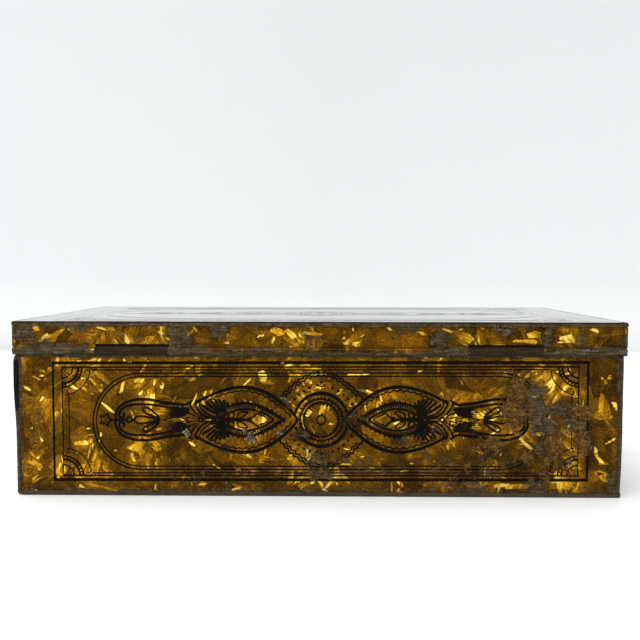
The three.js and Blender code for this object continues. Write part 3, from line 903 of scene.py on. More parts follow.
# %% [markdown]
# The inside of the sheet was never printed: it is plain tinplate, silvery with a warm
# grey tarnish and a few brown spots. The bottom plate and the hinge straps are the same
# tin rubbed and darkened by hands, the cut edges are a little darker too, and the hinge
# wire is steel. All five are one recipe with different colours, so one function makes them.
# %% Bare, worn and cut tin
def bare_metal(name, dark, light, spot, spots, roughness, metal, streak=(1, 1, 1), gloss=0.5):
    """Colours are picture values, spots is how common spots are, and streak squeezes the brushing."""
    material, tree, shader = new_material(name)
    place = place_in_mm(tree)
    cloudy, grain = noise(tree, place, 0.12, 4, 0.6), noise(tree, place, 2.4, 3, 0.7)
    brushed = noise(tree, vectors(tree, "MULTIPLY", place, streak), 1.4, 3, 0.6)
    tone = maths(tree, "ADD", times(tree, cloudy, 0.5), times(tree, brushed, 0.5))
    base = mix(tree, step(tree, tone, 0.36, 0.64), colour(*dark), colour(*light))
    spotted = step(tree, maths(tree, "ADD", grain, times(tree, cloudy, 0.6)), 1.0 - spots, 1.08 - spots)
    rough = maths(tree, "ADD", grain, brushed)
    set_inputs(shader, {
        "Base Color": mix(tree, spotted, base, colour(*spot)), "Metallic": blend(tree, spotted, metal, 0.1),
        "Roughness": blend(tree, spotted, sloped(tree, brushed, 0.3, roughness - 0.15), 0.8),
        "Specular IOR Level": gloss, "Normal": bumped(tree, rough, 0.3, 0.00005)})
    return material


inside_tin = bare_metal(
    "inside_tin", (128, 122, 112), (176, 170, 158), (96, 66, 40), 0.16, 0.38, 0.85, (0.08, 1, 1))
worn_edge = bare_metal(
    "worn_edge_tin", (42, 34, 24), (88, 75, 54), (78, 52, 24), 0.22, 0.5, 0.45, (0.15, 1, 1))
hinge_tin = bare_metal(
    "hinge_tin", (26, 19, 10), (70, 55, 34), (36, 26, 13), 0.2, 0.6, 0.1, (0.12, 1, 1.6), gloss=0.1)
cut_edge = bare_metal("cut_edge_tin", (60, 54, 48), (108, 102, 94), (84, 56, 32), 0.2, 0.5, 0.7)
steel = bare_metal(
    "hinge_wire_steel", (74, 70, 64), (128, 124, 116), (86, 56, 34), 0.14, 0.4, 0.9, (0.1, 1, 1))


def dress(piece, body, replaced, outside, inside=inside_tin):
    """Materials, wear and painted black for a sheet, the body it moves with, and the CAD part it replaces."""
    for number, material in enumerate((outside, inside, cut_edge)):
        piece.data.materials[number] = material
    paint_wear(piece.data, body)
    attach(piece, body)
    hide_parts(replaced)


for side, wall in walls.items():
    wall_node = side + ("_wall" if side in ("back", "front") else "_end_wall")
    dress(wall, "tin_body", wall_node, gold_lacquer)
dress(bottom, "tin_body", "bottom_plate", worn_edge)
dress(lid_top, "lid", "lid_top", top_lacquer)
for side, rim in rims.items():
    dress(rim, "lid", f"lid_{side}_rim", gold_lacquer)
for side, strap in straps.items():
    dress(strap, "tin_body", side + "_hinge_strap", hinge_tin, hinge_tin)
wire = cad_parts["hinge_wire"]
wire.data.materials.clear()
wire.data.materials.append(steel)
for piece in (walls["back"], walls["left"], bottom):
    piece.data.vertices.foreach_set("co", (knock(places(piece.data)) * MM).ravel())
print("material slots of a wall:", [material.name for material in walls["back"].data.materials])

# %% [markdown]
# The ornament was printed in black over the lacquer: frame lines, a quarter fan in each
# corner, a long rounded border, and in the middle a rosette between two almonds and two
# lyres, a pattern common on Victorian tins. Ink has a little body, so each stroke is a
# closed slab a few hundredths of a millimetre high. It is drawn on a flat plate first, as
# the printer did. Overlapping strokes differ slightly in height, so no two faces coincide.
# %% Helpers for the print
INK_TOP, INK_FOOT = 0.030, -0.02
STEP, FINE_STEP, LONG_STEP = 0.7, 0.4, 1.6


def smooth(points, closed=False):
    """A soft curve through the points (Catmull-Rom)."""
    points = [np.array(point, float) for point in points]
    count = len(points)
    made = []
    for i in range(count if closed else count - 1):
        if closed:
            a, b, c, d = (points[(i + k) % count] for k in (-1, 0, 1, 2))
        else:
            b, c = points[i], points[i + 1]
            a = points[i - 1] if i else 2 * b - c
            d = points[i + 2] if i + 2 < count else 2 * c - b
        steps = max(1, math.ceil(np.linalg.norm(c - b) / STEP))
        square, cube = 2 * a - 5 * b + 4 * c - d, 3 * b - a - 3 * c + d
        for t in np.arange(steps) / steps:
            made.append(0.5 * (2 * b + (c - a) * t + square * t ** 2 + cube * t ** 3))
    return np.array(made if closed else made + [points[-1]])


def ring(radius, start=0, end=360, centre=(0, 0), spacing=STEP):
    steps = max(6, math.ceil(math.radians(end - start) * radius / spacing))
    turns = np.radians(np.linspace(start, end, steps + 1))
    if end - start == 360:
        turns = turns[:-1]
    return np.column_stack([centre[0] + radius * np.cos(turns), centre[1] + radius * np.sin(turns)])


def straight(start, end):
    steps = max(1, math.ceil(math.dist(start, end) / LONG_STEP))
    return np.linspace(start, end, steps + 1)


def leftwards(path, closed=False):
    """The direction square to the path, to its left, at each point."""
    if closed:
        along = np.roll(path, -1, axis=0) - np.roll(path, 1, axis=0)
    else:
        along = np.gradient(path, axis=0)
    along = along / np.linalg.norm(along, axis=1)[:, None]
    return np.column_stack([-along[:, 1], along[:, 0]])


def scalloped(path, pitch, depth):
    """The path with small bows to its right, or to its left if depth is negative, as a frilled edge."""
    travelled = np.concatenate([[0], np.cumsum(np.linalg.norm(np.diff(path, axis=0), axis=1))])
    bows = max(1, round(travelled[-1] / pitch))
    fine = np.linspace(0, travelled[-1], bows * 6 + 1)
    fine_path = np.column_stack([np.interp(fine, travelled, path[:, axis]) for axis in (0, 1)])
    bow = depth * np.abs(np.sin(np.pi * bows * fine / travelled[-1]))
    return fine_path - leftwards(fine_path) * bow[:, None]


def smoothed(path):
    """The path with its frill smoothed out."""
    ends = np.pad(path, ((6, 6), (0, 0)), mode="edge")
    return np.column_stack([np.convolve(ends[:, axis], np.ones(13) / 13, "valid") for axis in (0, 1)])


class Plate:
    """Ink on a flat plate, in mm: closed slabs with (along, up, height) points."""

    def __init__(self):
        self.points, self.faces, self.strokes = [], [], 0

    def add(self, points, faces):
        start = len(self.points)
        self.points += [tuple(map(float, point)) for point in points]
        self.faces += [tuple(start + int(i) for i in face) for face in faces]

    def next_top(self):
        self.strokes += 1
        return INK_TOP + 0.0008 * (self.strokes % 15)

    def line(self, path, width, closed=False):
        """A stroke along a path. width is one number, or several spread along it."""
        path, width = np.asarray(path, float), np.atleast_1d(width)
        count, top = len(path), self.next_top()
        half_width = np.interp(np.linspace(0, 1, count), np.linspace(0, 1, len(width)), width) / 2
        side = leftwards(path, closed) * half_width[:, None]
        edges = ((path + side, top), (path - side, top), (path - side, INK_FOOT), (path + side, INK_FOOT))
        points = np.vstack([np.column_stack([edge, np.full(count, height)]) for edge, height in edges])
        faces = []
        for i in range(count if closed else count - 1):
            j = (i + 1) % count
            for a, b in ((1, 0), (0, 3), (3, 2), (2, 1)):
                faces.append((a * count + i, a * count + j, b * count + j, b * count + i))
        if not closed:
            faces.append((count, 0, 3 * count, 2 * count))
            faces.append((count - 1, 2 * count - 1, 3 * count - 1, 4 * count - 1))
        self.add(points, faces)

    def curve(self, points, width, closed=False):
        self.line(smooth(points, closed), width, closed)

    def circle(self, radius, centre, width):
        self.line(ring(radius, centre=centre, spacing=FINE_STEP), width, closed=True)

    def fill(self, outline, top=None):
        """A filled shape inside an outline, as high as the ink or as high as it is told."""
        outline = np.asarray(outline, float)
        following = np.roll(outline, -1, axis=0)
        if np.sum(outline[:, 0] * following[:, 1] - following[:, 0] * outline[:, 1]) < 0:
            outline = outline[::-1]
        count, top = len(outline), top or self.next_top()
        triangles = []
        for a, b, c in tessellate_polygon([[Vector((x, y, 0)) for x, y in outline]]):
            (ax, ay), (bx, by), (cx, cy) = outline[a], outline[b], outline[c]
            triangles.append((a, b, c) if (bx - ax) * (cy - ay) > (by - ay) * (cx - ax) else (a, c, b))
        points = [(x, y, top) for x, y in outline] + [(x, y, INK_FOOT) for x, y in outline]
        faces = triangles + [tuple(count + i for i in reversed(face)) for face in triangles]
        faces += [(i, count + i, count + (i + 1) % count, (i + 1) % count) for i in range(count)]
        self.add(points, faces)

    def dot(self, radius, centre):
        self.fill(ring(radius, centre=centre, spacing=FINE_STEP))

    def stamp(self, other, scale=1.0, flip_along=False, flip_up=False, at=(0, 0)):
        """Adds another plate's ink, scaled, mirrored and moved."""
        along, up = (-scale if flip_along else scale), (-scale if flip_up else scale)
        raised = 0.0004 * (flip_up + 2 * flip_along)
        points = [(at[0] + x * along, at[1] + y * up, z + raised * (z > 0)) for x, y, z in other.points]
        turned_over = flip_along != flip_up
        self.add(points, [face[::-1] if turned_over else face for face in other.faces])

    def stamp_twice(self, half):
        """Adds a plate's ink, and its mirror image below it."""
        self.stamp(half)
        self.stamp(half, flip_up=True)


print("ink stands", INK_TOP, "mm proud")

# %% [markdown]
# Teeth, beads, ticks and spikes repeat along a line, and that is work for Geometry Nodes.
# The tree turns a line into evenly spaced points and sets a small prism on each, turned
# to run with the line. How many, how wide, how long, how many sides and how far beside
# the line are named inputs, and a fixed seed varies the widths as a hand-cut plate would.
# %% Geometry Nodes: marks along a line
mark_tree = bpy.data.node_groups.new("marks_along_line", "GeometryNodeTree")
MARK_INPUTS = (
    ("Line", "Geometry", None), ("Count", "Int", 12), ("Sides", "Int", 4), ("Turn", "Float", 0.0),
    ("Half Width", "Float", 0.3), ("Half Length", "Float", 0.5), ("Beside", "Float", 0.0),
    ("Top", "Float", INK_TOP), ("Foot", "Float", INK_FOOT), ("Seed", "Int", 1), ("Ink", "Material", None))
for name, kind, value in MARK_INPUTS:
    socket = mark_tree.interface.new_socket(name, in_out="INPUT", socket_type="NodeSocket" + kind)
    if value is not None:
        socket.default_value = value
mark_tree.interface.new_socket("Marks", in_out="OUTPUT", socket_type="NodeSocketGeometry")
sockets = mark_tree.interface.items_tree
MARK_IDS = {socket.name: socket.identifier for socket in sockets if socket.in_out == "INPUT"}

given = mark_tree.nodes.new("NodeGroupInput").outputs
curve = node(mark_tree, "GeometryNodeMeshToCurve", {"Mesh": given["Line"]}).outputs[0]
spaced = node(mark_tree, "GeometryNodeResampleCurve", {"Curve": curve, "Count": given["Count"]}).outputs[0]
rod = {"Vertices": given["Sides"], "Radius": 1.0, "Depth": 1.0}
prism = node(mark_tree, "GeometryNodeMeshCylinder", rod).outputs["Mesh"]
turn = node(mark_tree, "ShaderNodeCombineXYZ", {2: given["Turn"]}).outputs[0]
prism = node(mark_tree, "GeometryNodeTransform", {"Geometry": prism, "Rotation": turn}).outputs[0]
tall = maths(mark_tree, "SUBTRACT", given["Top"], given["Foot"])
middle = times(mark_tree, maths(mark_tree, "ADD", given["Top"], given["Foot"]), 0.5)
three_ways = {0: given["Half Width"], 1: given["Half Length"], 2: tall}
sizes = node(mark_tree, "ShaderNodeCombineXYZ", three_ways).outputs[0]
place = node(mark_tree, "ShaderNodeCombineXYZ", {1: given["Beside"], 2: middle}).outputs[0]
moved = {"Geometry": prism, "Translation": place, "Scale": sizes}
prism = node(mark_tree, "GeometryNodeTransform", moved).outputs[0]
tangent = node(mark_tree, "GeometryNodeInputTangent").outputs[0]
facing = node(mark_tree, "FunctionNodeAlignRotationToVector", {"Vector": tangent}, axis="X", pivot_axis="Z")
chance = {2: 0.85, 3: 1.12, "Seed": given["Seed"]}
vary = node(mark_tree, "FunctionNodeRandomValue", chance, data_type="FLOAT").outputs[1]
width_only = node(mark_tree, "ShaderNodeCombineXYZ", {0: vary, 1: 1.0, 2: 1.0}).outputs[0]
copies = {"Points": spaced, "Instance": prism, "Rotation": facing.outputs[0], "Scale": width_only}
marks = node(mark_tree, "GeometryNodeInstanceOnPoints", copies).outputs[0]
marks = node(mark_tree, "GeometryNodeRealizeInstances", {"Geometry": marks}).outputs[0]
marks = node(mark_tree, "GeometryNodeSetMaterial", {"Geometry": marks, "Material": given["Ink"]}).outputs[0]
set_inputs(mark_tree.nodes.new("NodeGroupOutput"), {"Marks": marks})


def marks_along(plate, path, closed=False, **sizes):
    """Runs the tree along a path, and adds the marks to the plate."""
    count = len(path)
    mesh = bpy.data.meshes.new("line")
    edges = [(i, (i + 1) % count) for i in range(count if closed else count - 1)]
    mesh.from_pydata([(x, y, 0) for x, y in path], edges, [])
    carrier = bpy.data.objects.new("line", mesh)
    bpy.context.collection.objects.link(carrier)
    modifier = carrier.modifiers.new("marks", "NODES")
    modifier.node_group = mark_tree
    modifier[MARK_IDS["Ink"]] = black_ink
    modifier[MARK_IDS["Top"]] = plate.next_top()
    for name, value in sizes.items():
        modifier[MARK_IDS[name.replace("_", " ").title()]] = value
    bpy.context.view_layer.update()
    made = bpy.data.meshes.new_from_object(carrier.evaluated_get(bpy.context.evaluated_depsgraph_get()))
    plate.add([vertex.co for vertex in made.vertices], [polygon.vertices for polygon in made.polygons])
    bpy.data.objects.remove(carrier)
    bpy.data.meshes.remove(mesh)
    bpy.data.meshes.remove(made)


print("inputs of the tree:", ", ".join(MARK_IDS))

# %% [markdown]
# The rosette is rings about one centre: a small eye, a toothed ring, a thin ring with
# teeth outside it, and a heavy ring broken at the left and right, where the almonds touch.
# Above and below it a frilled lobe of two fine lines holds a row of dots.
# %% Rosette and its lobes
def draw_rosette():
    plate, half = Plate(), Plate()
    plate.circle(1.85, (0, 0), 0.75)
    plate.line(ring(7.3), 0.85, closed=True)
    marks_along(plate, ring(6.6), closed=True, count=32, half_width=0.38, half_length=0.62)
    plate.line(ring(8.7), 0.75, closed=True)
    marks_along(plate, ring(9.3), closed=True, count=36, half_width=0.4, half_length=0.65, seed=3)
    for start in (15, 195):
        plate.line(ring(11.1, start, start + 150), (1.0, 1.5, 1.7, 1.5, 1.0))
    lobe = [(-17.0, 8.0), (-15.9, 9.6), (-13.4, 12.4), (-10.4, 15.0), (-7, 17.4), (-3.8, 18.8)]
    frill = scalloped(smooth(lobe + [(0, 19.3)] + [(-x, y) for x, y in reversed(lobe)]), 2.7, -0.8)
    half.line(frill, 0.85)
    half.line((frill - leftwards(smoothed(frill)) * 1.25)[6:-6], 0.75)
    for x, y in ((-12.6, 6.6), (-11.1, 8.6), (-9.3, 10.5), (-7.2, 12.1), (-4.8, 13.3)):
        half.dot(0.62, (-x, y))
        half.dot(0.62, (x, y))
    half.curve([(-2.4, 15.2), (-1.2, 14.3), (0, 14.0), (1.2, 14.3), (2.4, 15.2)], (0.3, 0.7, 0.3))
    half.dot(0.6, (0, 15.8))
    plate.stamp_twice(half)
    return plate


rosette = draw_rosette()
print("rosette:", len(rosette.faces), "faces")

# %% [markdown]
# Each almond has a swelling outline with a frilled fine line inside it. Its heart is a
# dark band cut by short bright ticks, with spikes outside and a small palmette within.
# At the far end two ribbed fans spread from a dark knot, with a small ring between them.
# Half of it is drawn and stamped twice, as the real one is the same above and below.
# %% Almond
def draw_almond():
    half, plate = Plate(), Plate()
    outline = smooth([(-9.7, 0), (-12.4, 3.5), (-16.6, 7.2), (-20.8, 10.2), (-25, 12.3), (-29.2, 13.4),
                      (-33.4, 13.7), (-37.7, 13.1), (-41.9, 11.9), (-46, 10.3), (-49.8, 8.4), (-52.3, 6.9)])
    half.line(outline, (1.0, 1.35, 1.6, 1.65, 1.5, 1.35, 1.2, 1.1))
    inner = outline + leftwards(outline) * 2.0
    half.line(scalloped(inner[4:-8], 2.8, 0.7), 0.65)
    edge = smooth([(-15.6, 0), (-19.5, 2.7), (-24, 5.1), (-28, 6.6), (-31.5, 7.1), (-35, 6.7), (-38, 5.7),
                   (-40.4, 4.3)])
    half.line(edge, 1.0)
    half.curve([(-19.6, 0), (-23, 2.2), (-27, 3.8), (-31, 4.5), (-34.5, 4.2), (-37.5, 3.2),
                (-39.6, 1.7)], 1.05)
    half.line(edge + leftwards(edge) * 0.5, 0.6)
    middle = smooth([(-17.8, 0.7), (-21.2, 2.7), (-25.5, 4.6), (-29.5, 5.7), (-33, 5.8), (-36.4, 5.0),
                     (-39.2, 3.5)])
    marks_along(half, middle, count=25, half_width=0.42, half_length=1.15, seed=5)
    marks_along(half, edge, count=14, sides=3, turn=-math.pi / 2, half_width=0.75, half_length=1.05,
                beside=-0.5, seed=6)
    half.curve([(-21.4, 0), (-23.2, 1.2), (-25.2, 2.0), (-26.7, 2.7), (-27.5, 2.0), (-28.8, 1.0),
                (-31, 0.4)],
               (0.5, 0.8, 0.9))
    half.curve([(-35.0, 0.9), (-34.3, 2.7), (-32.4, 3.4), (-30.6, 3.3), (-31.7, 2.0),
                (-33.4, 0.8)], 0.75, closed=True)
    half.circle(1.3, (-37.6, 2.0), 0.8)
    half.line(straight((-28.8, 0.15), (-41.5, 0.2)), (0.5, 1.2, 1.8))
    half.fill(smooth([(-39.6, -0.2), (-39.9, 1.4), (-39.4, 2.6), (-39.8, 3.9), (-41.0, 4.0), (-42.6, 3.0),
                      (-44.2, 1.7), (-43.4, 0.5), (-42.0, -0.2)], closed=True))
    half.curve([(-43.6, 1.3), (-46.6, 2.0), (-49.3, 3.9), (-50.7, 6.2), (-50.4, 7.9)], (0.9, 0.8, 0.7, 0.6))
    for share in np.linspace(0, 1, 7):
        near = np.array((-43.2 + 4.2 * share, 2.1 + 2.7 * share))
        far = np.array((-49.8 + 10.8 * share, 6.3 + 8.4 * share - 7.2 * share ** 2))
        bend = (0.3 - 0.2 * share, -0.3 + 0.3 * share)
        half.curve([near, (near + far) / 2 + bend, far], (0.85, 1.1, 1.2, 1.2, 0.9))
    half.curve([(-43.4, 0.5), (-46.6, 0.9), (-49.7, 2.3), (-51.6, 4.7), (-52.5, 6.9), (-51.7, 8.1),
                (-50.4, 7.8)],
               (1.2, 1.1, 0.9, 0.95, 0.7))
    half.curve([(-55.0, 7.6), (-54.1, 5.2), (-52.6, 3.0), (-51.2, 1.7)], (0.7, 1.0, 0.8, 0.5))
    for start, end, width in (
            ((-51.4, 1.0), (-55.6, 3.0), (0.35, 0.9)), ((-51.6, 0.4), (-56.4, 1.1), (0.3, 0.7)),
            ((-43.6, 0.3), (-48.9, 0.7), (0.4, 0.6))):
        half.line(straight(start, end), width)
    plate.stamp_twice(half)
    plate.circle(0.95, (-50.2, 0), 0.85)
    return plate


almond = draw_almond()
print("almond:", len(almond.faces), "faces")

# %% [markdown]
# Beyond each almond lies a lyre: two long lines that bow out and curl in at the far end,
# with three slim leaves between them and dark feathers that sweep back to the almond. A
# five-pointed star hangs from its tip.
# %% Lyre and star
def draw_lyre():
    half, plate = Plate(), Plate()
    half.curve([(-85.5, 0.2), (-85.8, 2.2), (-85, 4.3), (-83.2, 6.3), (-80.3, 7.7), (-76.8, 8.5),
                (-71.8, 8.5),
                (-66.8, 7.6), (-63, 7.0), (-60, 6.7), (-56.8, 6.3), (-54.9, 7.3), (-53.6, 8.2)],
               (1.05, 1.2, 1.25, 1.2, 1.15, 1.0))
    half.curve([(-82.9, 2.7), (-82.2, 2.1), (-82.6, 1.2), (-83.7, 1.0), (-84.4, 1.9), (-84.0, 3.5),
                (-82.3, 5.1),
                (-79.3, 6.2), (-75.2, 6.5), (-71, 6.4), (-66.9, 5.7), (-62.5, 5.1), (-58, 4.8), (-55, 5.0)],
               (1.4, 1.1, 0.95, 0.95, 1.0, 1.0))
    ticked = smooth([(-66.5, 6.7), (-62, 6.1), (-57.6, 5.7)])
    marks_along(half, ticked, count=12, half_width=0.34, half_length=1.2, seed=8)
    half.curve([(-67.6, 1.0), (-69.8, 3.2), (-72, 4.8), (-73.8, 5.0), (-74.3, 3.9), (-72.9, 2.7),
                (-70.2, 1.6)],
               0.9, closed=True)
    for k in range(6):
        start, tip = (-54.4 - 0.4 * k, 4.4 - 0.5 * k), (-65.6 + 0.5 * (k % 3), 5.4 - 0.76 * k)
        half.curve([start, (-59.5, 4.6 - 0.6 * k), tip], (0.5, 1.0, 1.1, 0.8, 0.5, 0.2))
    half.curve([(-65.9, 0), (-62.6, 0.9), (-59.3, 0.9), (-55.4, 0.2)], 0.5)
    plate.stamp_twice(half)
    plate.circle(1.15, (-80.1, 0), 0.9)
    leaf = [(-70.5, 0.7), (-74, 1.45), (-76.7, 1.4)]
    below = [(x, -y) for x, y in reversed(leaf)]
    plate.curve([(-67.2, 0)] + leaf + [(-77.9, 0)] + below, 0.9, closed=True)
    plate.line(straight((-77.9, 0), (-79, 0)), 1.0)
    plate.line(straight((-81.2, 0), (-87.2, 0)), (0.9, 1.3, 1.2, 0.7))
    star = [(-90.0 + radius * math.cos(math.radians(36 * k)), radius * math.sin(math.radians(36 * k)))
            for k, radius in enumerate((2.9, 1.45) * 5)]
    for start, end in zip(star, star[1:] + star[:1]):
        plate.line(straight(start, end), 0.7)
    return plate


lyre = draw_lyre()
print("lyre and star:", len(lyre.faces), "faces")

# %% [markdown]
# The frame has a heavy line, two fine ones and, at each corner, a quarter fan whose dark
# band is cut by bright beads. A double line with half-round ends runs inside it. Its
# sizes are inputs, so the same drawing serves the long walls, the ends and the lid.
# %% Frame, corner fans and border
def draw_corner():
    """The upper right corner's fan, about the corner of the second line."""
    plate = Plate()
    for radius, width in ((4.5, 0.7), (6.8, 0.95), (8.3, 0.75)):
        plate.line(ring(radius, 180, 270, spacing=0.5), width)
    marks_along(plate, ring(7.55, 181, 269, spacing=0.5), count=9, half_width=0.46, half_length=0.6, seed=9)
    plate.line(ring(11.7, 188, 262), 0.5)
    plate.curve([(-1.9, -9.6), (-2.3, -11.2), (-3.2, -11.4)], 0.4)
    plate.curve([(-9.6, -1.2), (-11.2, -1.5), (-11.7, -2.4)], 0.4)
    plate.curve([(-1.5, -1.9), (-2.6, -2.9), (-3.5, -3.1)], (0.3, 0.7, 0.2))
    return plate


def draw_frame(half_long, half_tall, border_long, border_tall, corner_size=1.0):
    """Half the length and height of the outer line and of the border, and how big the corners are."""
    plate = Plate()
    second_long, second_tall = half_long - 3.8 * corner_size, half_tall - 1.8 * corner_size
    third_tall = second_tall - 1.15 * corner_size
    corner_long, corner_tall = second_long - 12.2 * corner_size, second_tall - 11.6 * corner_size
    inner_long = second_long - 2.7 * corner_size
    for way in (-1, 1):
        for long_side, tall, width in ((half_long, half_tall, 1.3), (second_long, second_tall, 0.7)):
            reach = long_side + width / 2
            plate.line(straight((-reach, way * tall), (reach, way * tall)), width)
            plate.line(straight((way * long_side, -tall), (way * long_side, tall)), 0.75 * width)
        plate.line(straight((-corner_long, way * third_tall), (corner_long, way * third_tall)), 0.6)
        plate.line(straight((way * inner_long, -corner_tall), (way * inner_long, corner_tall)), 0.45)
    corner = draw_corner()
    for flip_along in (False, True):
        for flip_up in (False, True):
            at = ((-1 if flip_along else 1) * second_long, (-1 if flip_up else 1) * second_tall)
            plate.stamp(corner, corner_size, flip_along, flip_up, at)
    run = border_long - border_tall
    for radius, width in ((border_tall, 0.7), (border_tall - 1.35, 0.6)):
        path = np.vstack([straight((-run, -radius), (run, -radius)), ring(radius, -90, 90, (run, 0), 1.2),
                          straight((run, radius), (-run, radius)), ring(radius, 90, 270, (-run, 0), 1.2)])
        apart = np.linalg.norm(path - np.roll(path, 1, axis=0), axis=1) > 1e-6
        plate.line(path[apart], width, closed=True)
    return plate


def draw_print(frame_at, frame_sizes, motif_at, motif_scale, with_lyre=True, askew=0.0):
    """A whole print. askew turns it, in degrees, as a sheet fed a little crooked to the press."""
    plate = Plate()
    plate.stamp(draw_frame(*frame_sizes), at=frame_at)
    plate.stamp(rosette, motif_scale, at=motif_at)
    for flip_along in (False, True):
        for motif in (almond, lyre) if with_lyre else (almond,):
            plate.stamp(motif, motif_scale, flip_along, at=motif_at)
    cos, sin = math.cos(math.radians(askew)), math.sin(math.radians(askew))
    plate.points = [(x * cos - y * sin, x * sin + y * cos, z) for x, y, z in plate.points]
    return plate


long_print = draw_print((0.6, 31.6), (111.0, 24.55, 94.5, 20.2), (1.3, 32.3), 1.0, askew=0.22)
end_print = draw_print((0, 31.8), (60.0, 24.3, 45.5, 19.9), (0, 32.0), 0.8, with_lyre=False)
lid_print = draw_print((0, 0), (114.0, 63.0, 106.0, 50.0, 1.5), (0, 0), 1.08)
print("faces of the three prints:", len(long_print.faces), len(end_print.faces), len(lid_print.faces))

# %% [markdown]
# Each print is then laid on its panel. A point of the plate goes to the panel's outer
# face, follows its waves and dents, and stands out by its own height. It also keeps its
# place on the flat sheet, so that wear and lacquer run through ink and gold alike.
# %% Lay the prints on the panels
def on_panel(side, points):
    """The plate's points (along, up, height) laid on the outer face of a panel."""
    u, v, height = points.T
    if side == "back rim":
        return np.column_stack([u, -RIM_Y - SHEET / 2 - rim_wave(u, v) - height, v])
    out = swell(side, u, v) + height
    if side == "top":
        return np.column_stack([u, v, TOP_FACE_Z + out])
    out = out + (WALL_FACE_Y if side in ("back", "front") else WALL_FACE_X)
    x, y = {"back": (u + spread(u, v), -out), "front": (-u, out), "left": (-out, -u), "right": (out, u)}[side]
    return np.column_stack([x, y, v])


def lay(name, plate, side, material, flash=None):
    flat = np.array(plate.points)
    piece = make_piece(name, on_panel(side, flat), plate.faces, flat[:, 0], flat[:, 1], side)
    piece.data.materials.append(material)
    if flash is not None:
        store(piece.data, "flash", flash)
    body = "lid" if side in ("top", "back rim") else "tin_body"
    paint_wear(piece.data, body)
    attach(piece, body)
    return piece


for name, plate, side, ink in (
        ("back_wall_print", long_print, "back", black_ink),
        ("front_wall_print", long_print, "front", black_ink),
        ("left_end_wall_print", end_print, "left", black_ink),
        ("right_end_wall_print", end_print, "right", black_ink),
        ("lid_top_print", lid_print, "top", black_ink_top)):
    printed = lay(name, plate, side, ink)
    print(name, "has", sum(len(face.vertices) - 2 for face in printed.data.polygons), "triangles")

# %% [markdown]
# Some crystals happen to face the light and flash like small mirrors, and they are what
# one remembers of such a tin. Each flash is a painted highlight: a ragged slip, far thinner
# than the ink and under it, that makes the lacquer's colour there brighter. The most striking
# ones on the hinge side are placed one by one. The rest fall by chance, in small bunches that
# point nearly the same way. Chips, where the lacquer came off after printing, are many small
# slips of the same kind that overlap, laid over the ink.
# %% Painted crystal glints and chips
BACK_CRYSTAL_GLINTS = [  # along, up, length, width, turn in degrees, how bright
    (86, 22.5, 9, 1.4, -41, 1.0), (98, 36, 3, 1.2, 15, 0.97), (96, 34, 3, 1.2, 75, 0.95),
    (97.5, 31.5, 4, 1.1, -30, 0.97), (103.5, 27, 7, 3.4, -22, 0.78), (104, 21.5, 7, 2.2, -40, 0.8),
    (91.5, 26.5, 6, 1.7, -5, 0.95), (115, 19.5, 4, 2, -82, 1.0), (116.5, 16, 4.5, 1.7, -50, 0.97),
    (121, 24, 5, 0.9, 32, 0.93), (117, 40, 8, 2.2, 87, 0.72), (122.5, 38.5, 4, 2, -60, 0.97),
    (76, 5, 6.5, 1.7, 6, 0.92), (83, 4.5, 10, 2.6, 6, 0.78), (103, 5, 6.5, 3.5, -7, 0.8),
    (118, 9, 8, 3.5, -36, 0.72), (16, 51.3, 8.5, 0.7, 2, 1.0), (3, 2.4, 3, 1.2, -34, 1.0),
    (-23.5, 50.5, 5, 4.4, -70, 1.0), (-29.5, 48, 6, 0.7, 43, 1.0), (-34, 3, 4, 1.3, 14, 0.95),
    (-4, 35, 4, 2.2, 62, 0.95), (-74.5, 48.5, 4.5, 2.2, 11, 0.95), (-88.5, 37.5, 7.3, 1.2, -40, 0.98),
    (-99, 22, 6.7, 1.8, 6, 0.9), (-75.5, 19.5, 7.4, 4, -20, 0.74), (-53, 22, 3.4, 1.4, -30, 1.0),
    (-108.5, 11.5, 5.7, 1.2, 68, 0.92), (-122, 45.5, 5, 1.3, -27, 0.95), (-118.5, 1.5, 3.5, 1.2, 25, 0.97)]
RIM_CRYSTAL_GLINTS = [
    (-113.5, 66.5, 6.2, 1.7, 47, 0.98), (-117, 70, 3, 2.4, -39, 0.86), (-110.5, 65.5, 6.5, 4, 11, 0.72),
    (-65, 68.5, 2.4, 1.6, -32, 0.97), (-62.5, 66.5, 3.6, 1.6, -45, 1.0), (-24, 67.3, 3.4, 1.1, 15, 0.98),
    (-18.5, 65.5, 2.8, 1.1, 67, 0.97), (-17, 69, 6, 3.4, -28, 0.82), (-11.5, 68, 6.2, 3.0, -37, 0.86),
    (-2.5, 68.3, 8, 1.7, -4, 0.8), (15, 64, 3, 1.2, -45, 0.92), (29, 70.5, 3, 1.2, -39, 0.95),
    (48.5, 66, 3, 1.2, 45, 0.97), (61, 66.7, 6, 4, -25, 0.7), (86, 65.3, 10, 1.7, -2, 0.8),
    (88.5, 68, 5.2, 3.2, 19, 0.8), (94, 69, 2.5, 2.1, 0, 0.85), (102.5, 66, 7, 3.8, 0, 1.0),
    (113.5, 70, 4.2, 1.5, -14, 0.97)]
TAN_CHIPS = [(-78, 56.5, 1.8, 1.4, -7), (-15, 56, 1.9, 1.7, 7), (-34, 12, 2.6, 1.4, -60)]
BARE_CHIPS = [
    (-55, 26.5, 4.5, 2.2, -30), (-28.5, 25, 4.2, 2.8, -27), (-13, 40, 3.4, 1.2, -45),
    (-15.3, 27, 3, 1.4, 27)]
RAGGED = [(-0.5, -0.24), (-0.4, 0.4), (0.2, 0.5), (0.5, 0.14), (0.3, -0.42)]
SLIP_TOP, CHIP_TOP = 0.010, 0.046


def direction(degrees):
    return math.cos(math.radians(degrees)), math.sin(math.radians(degrees))


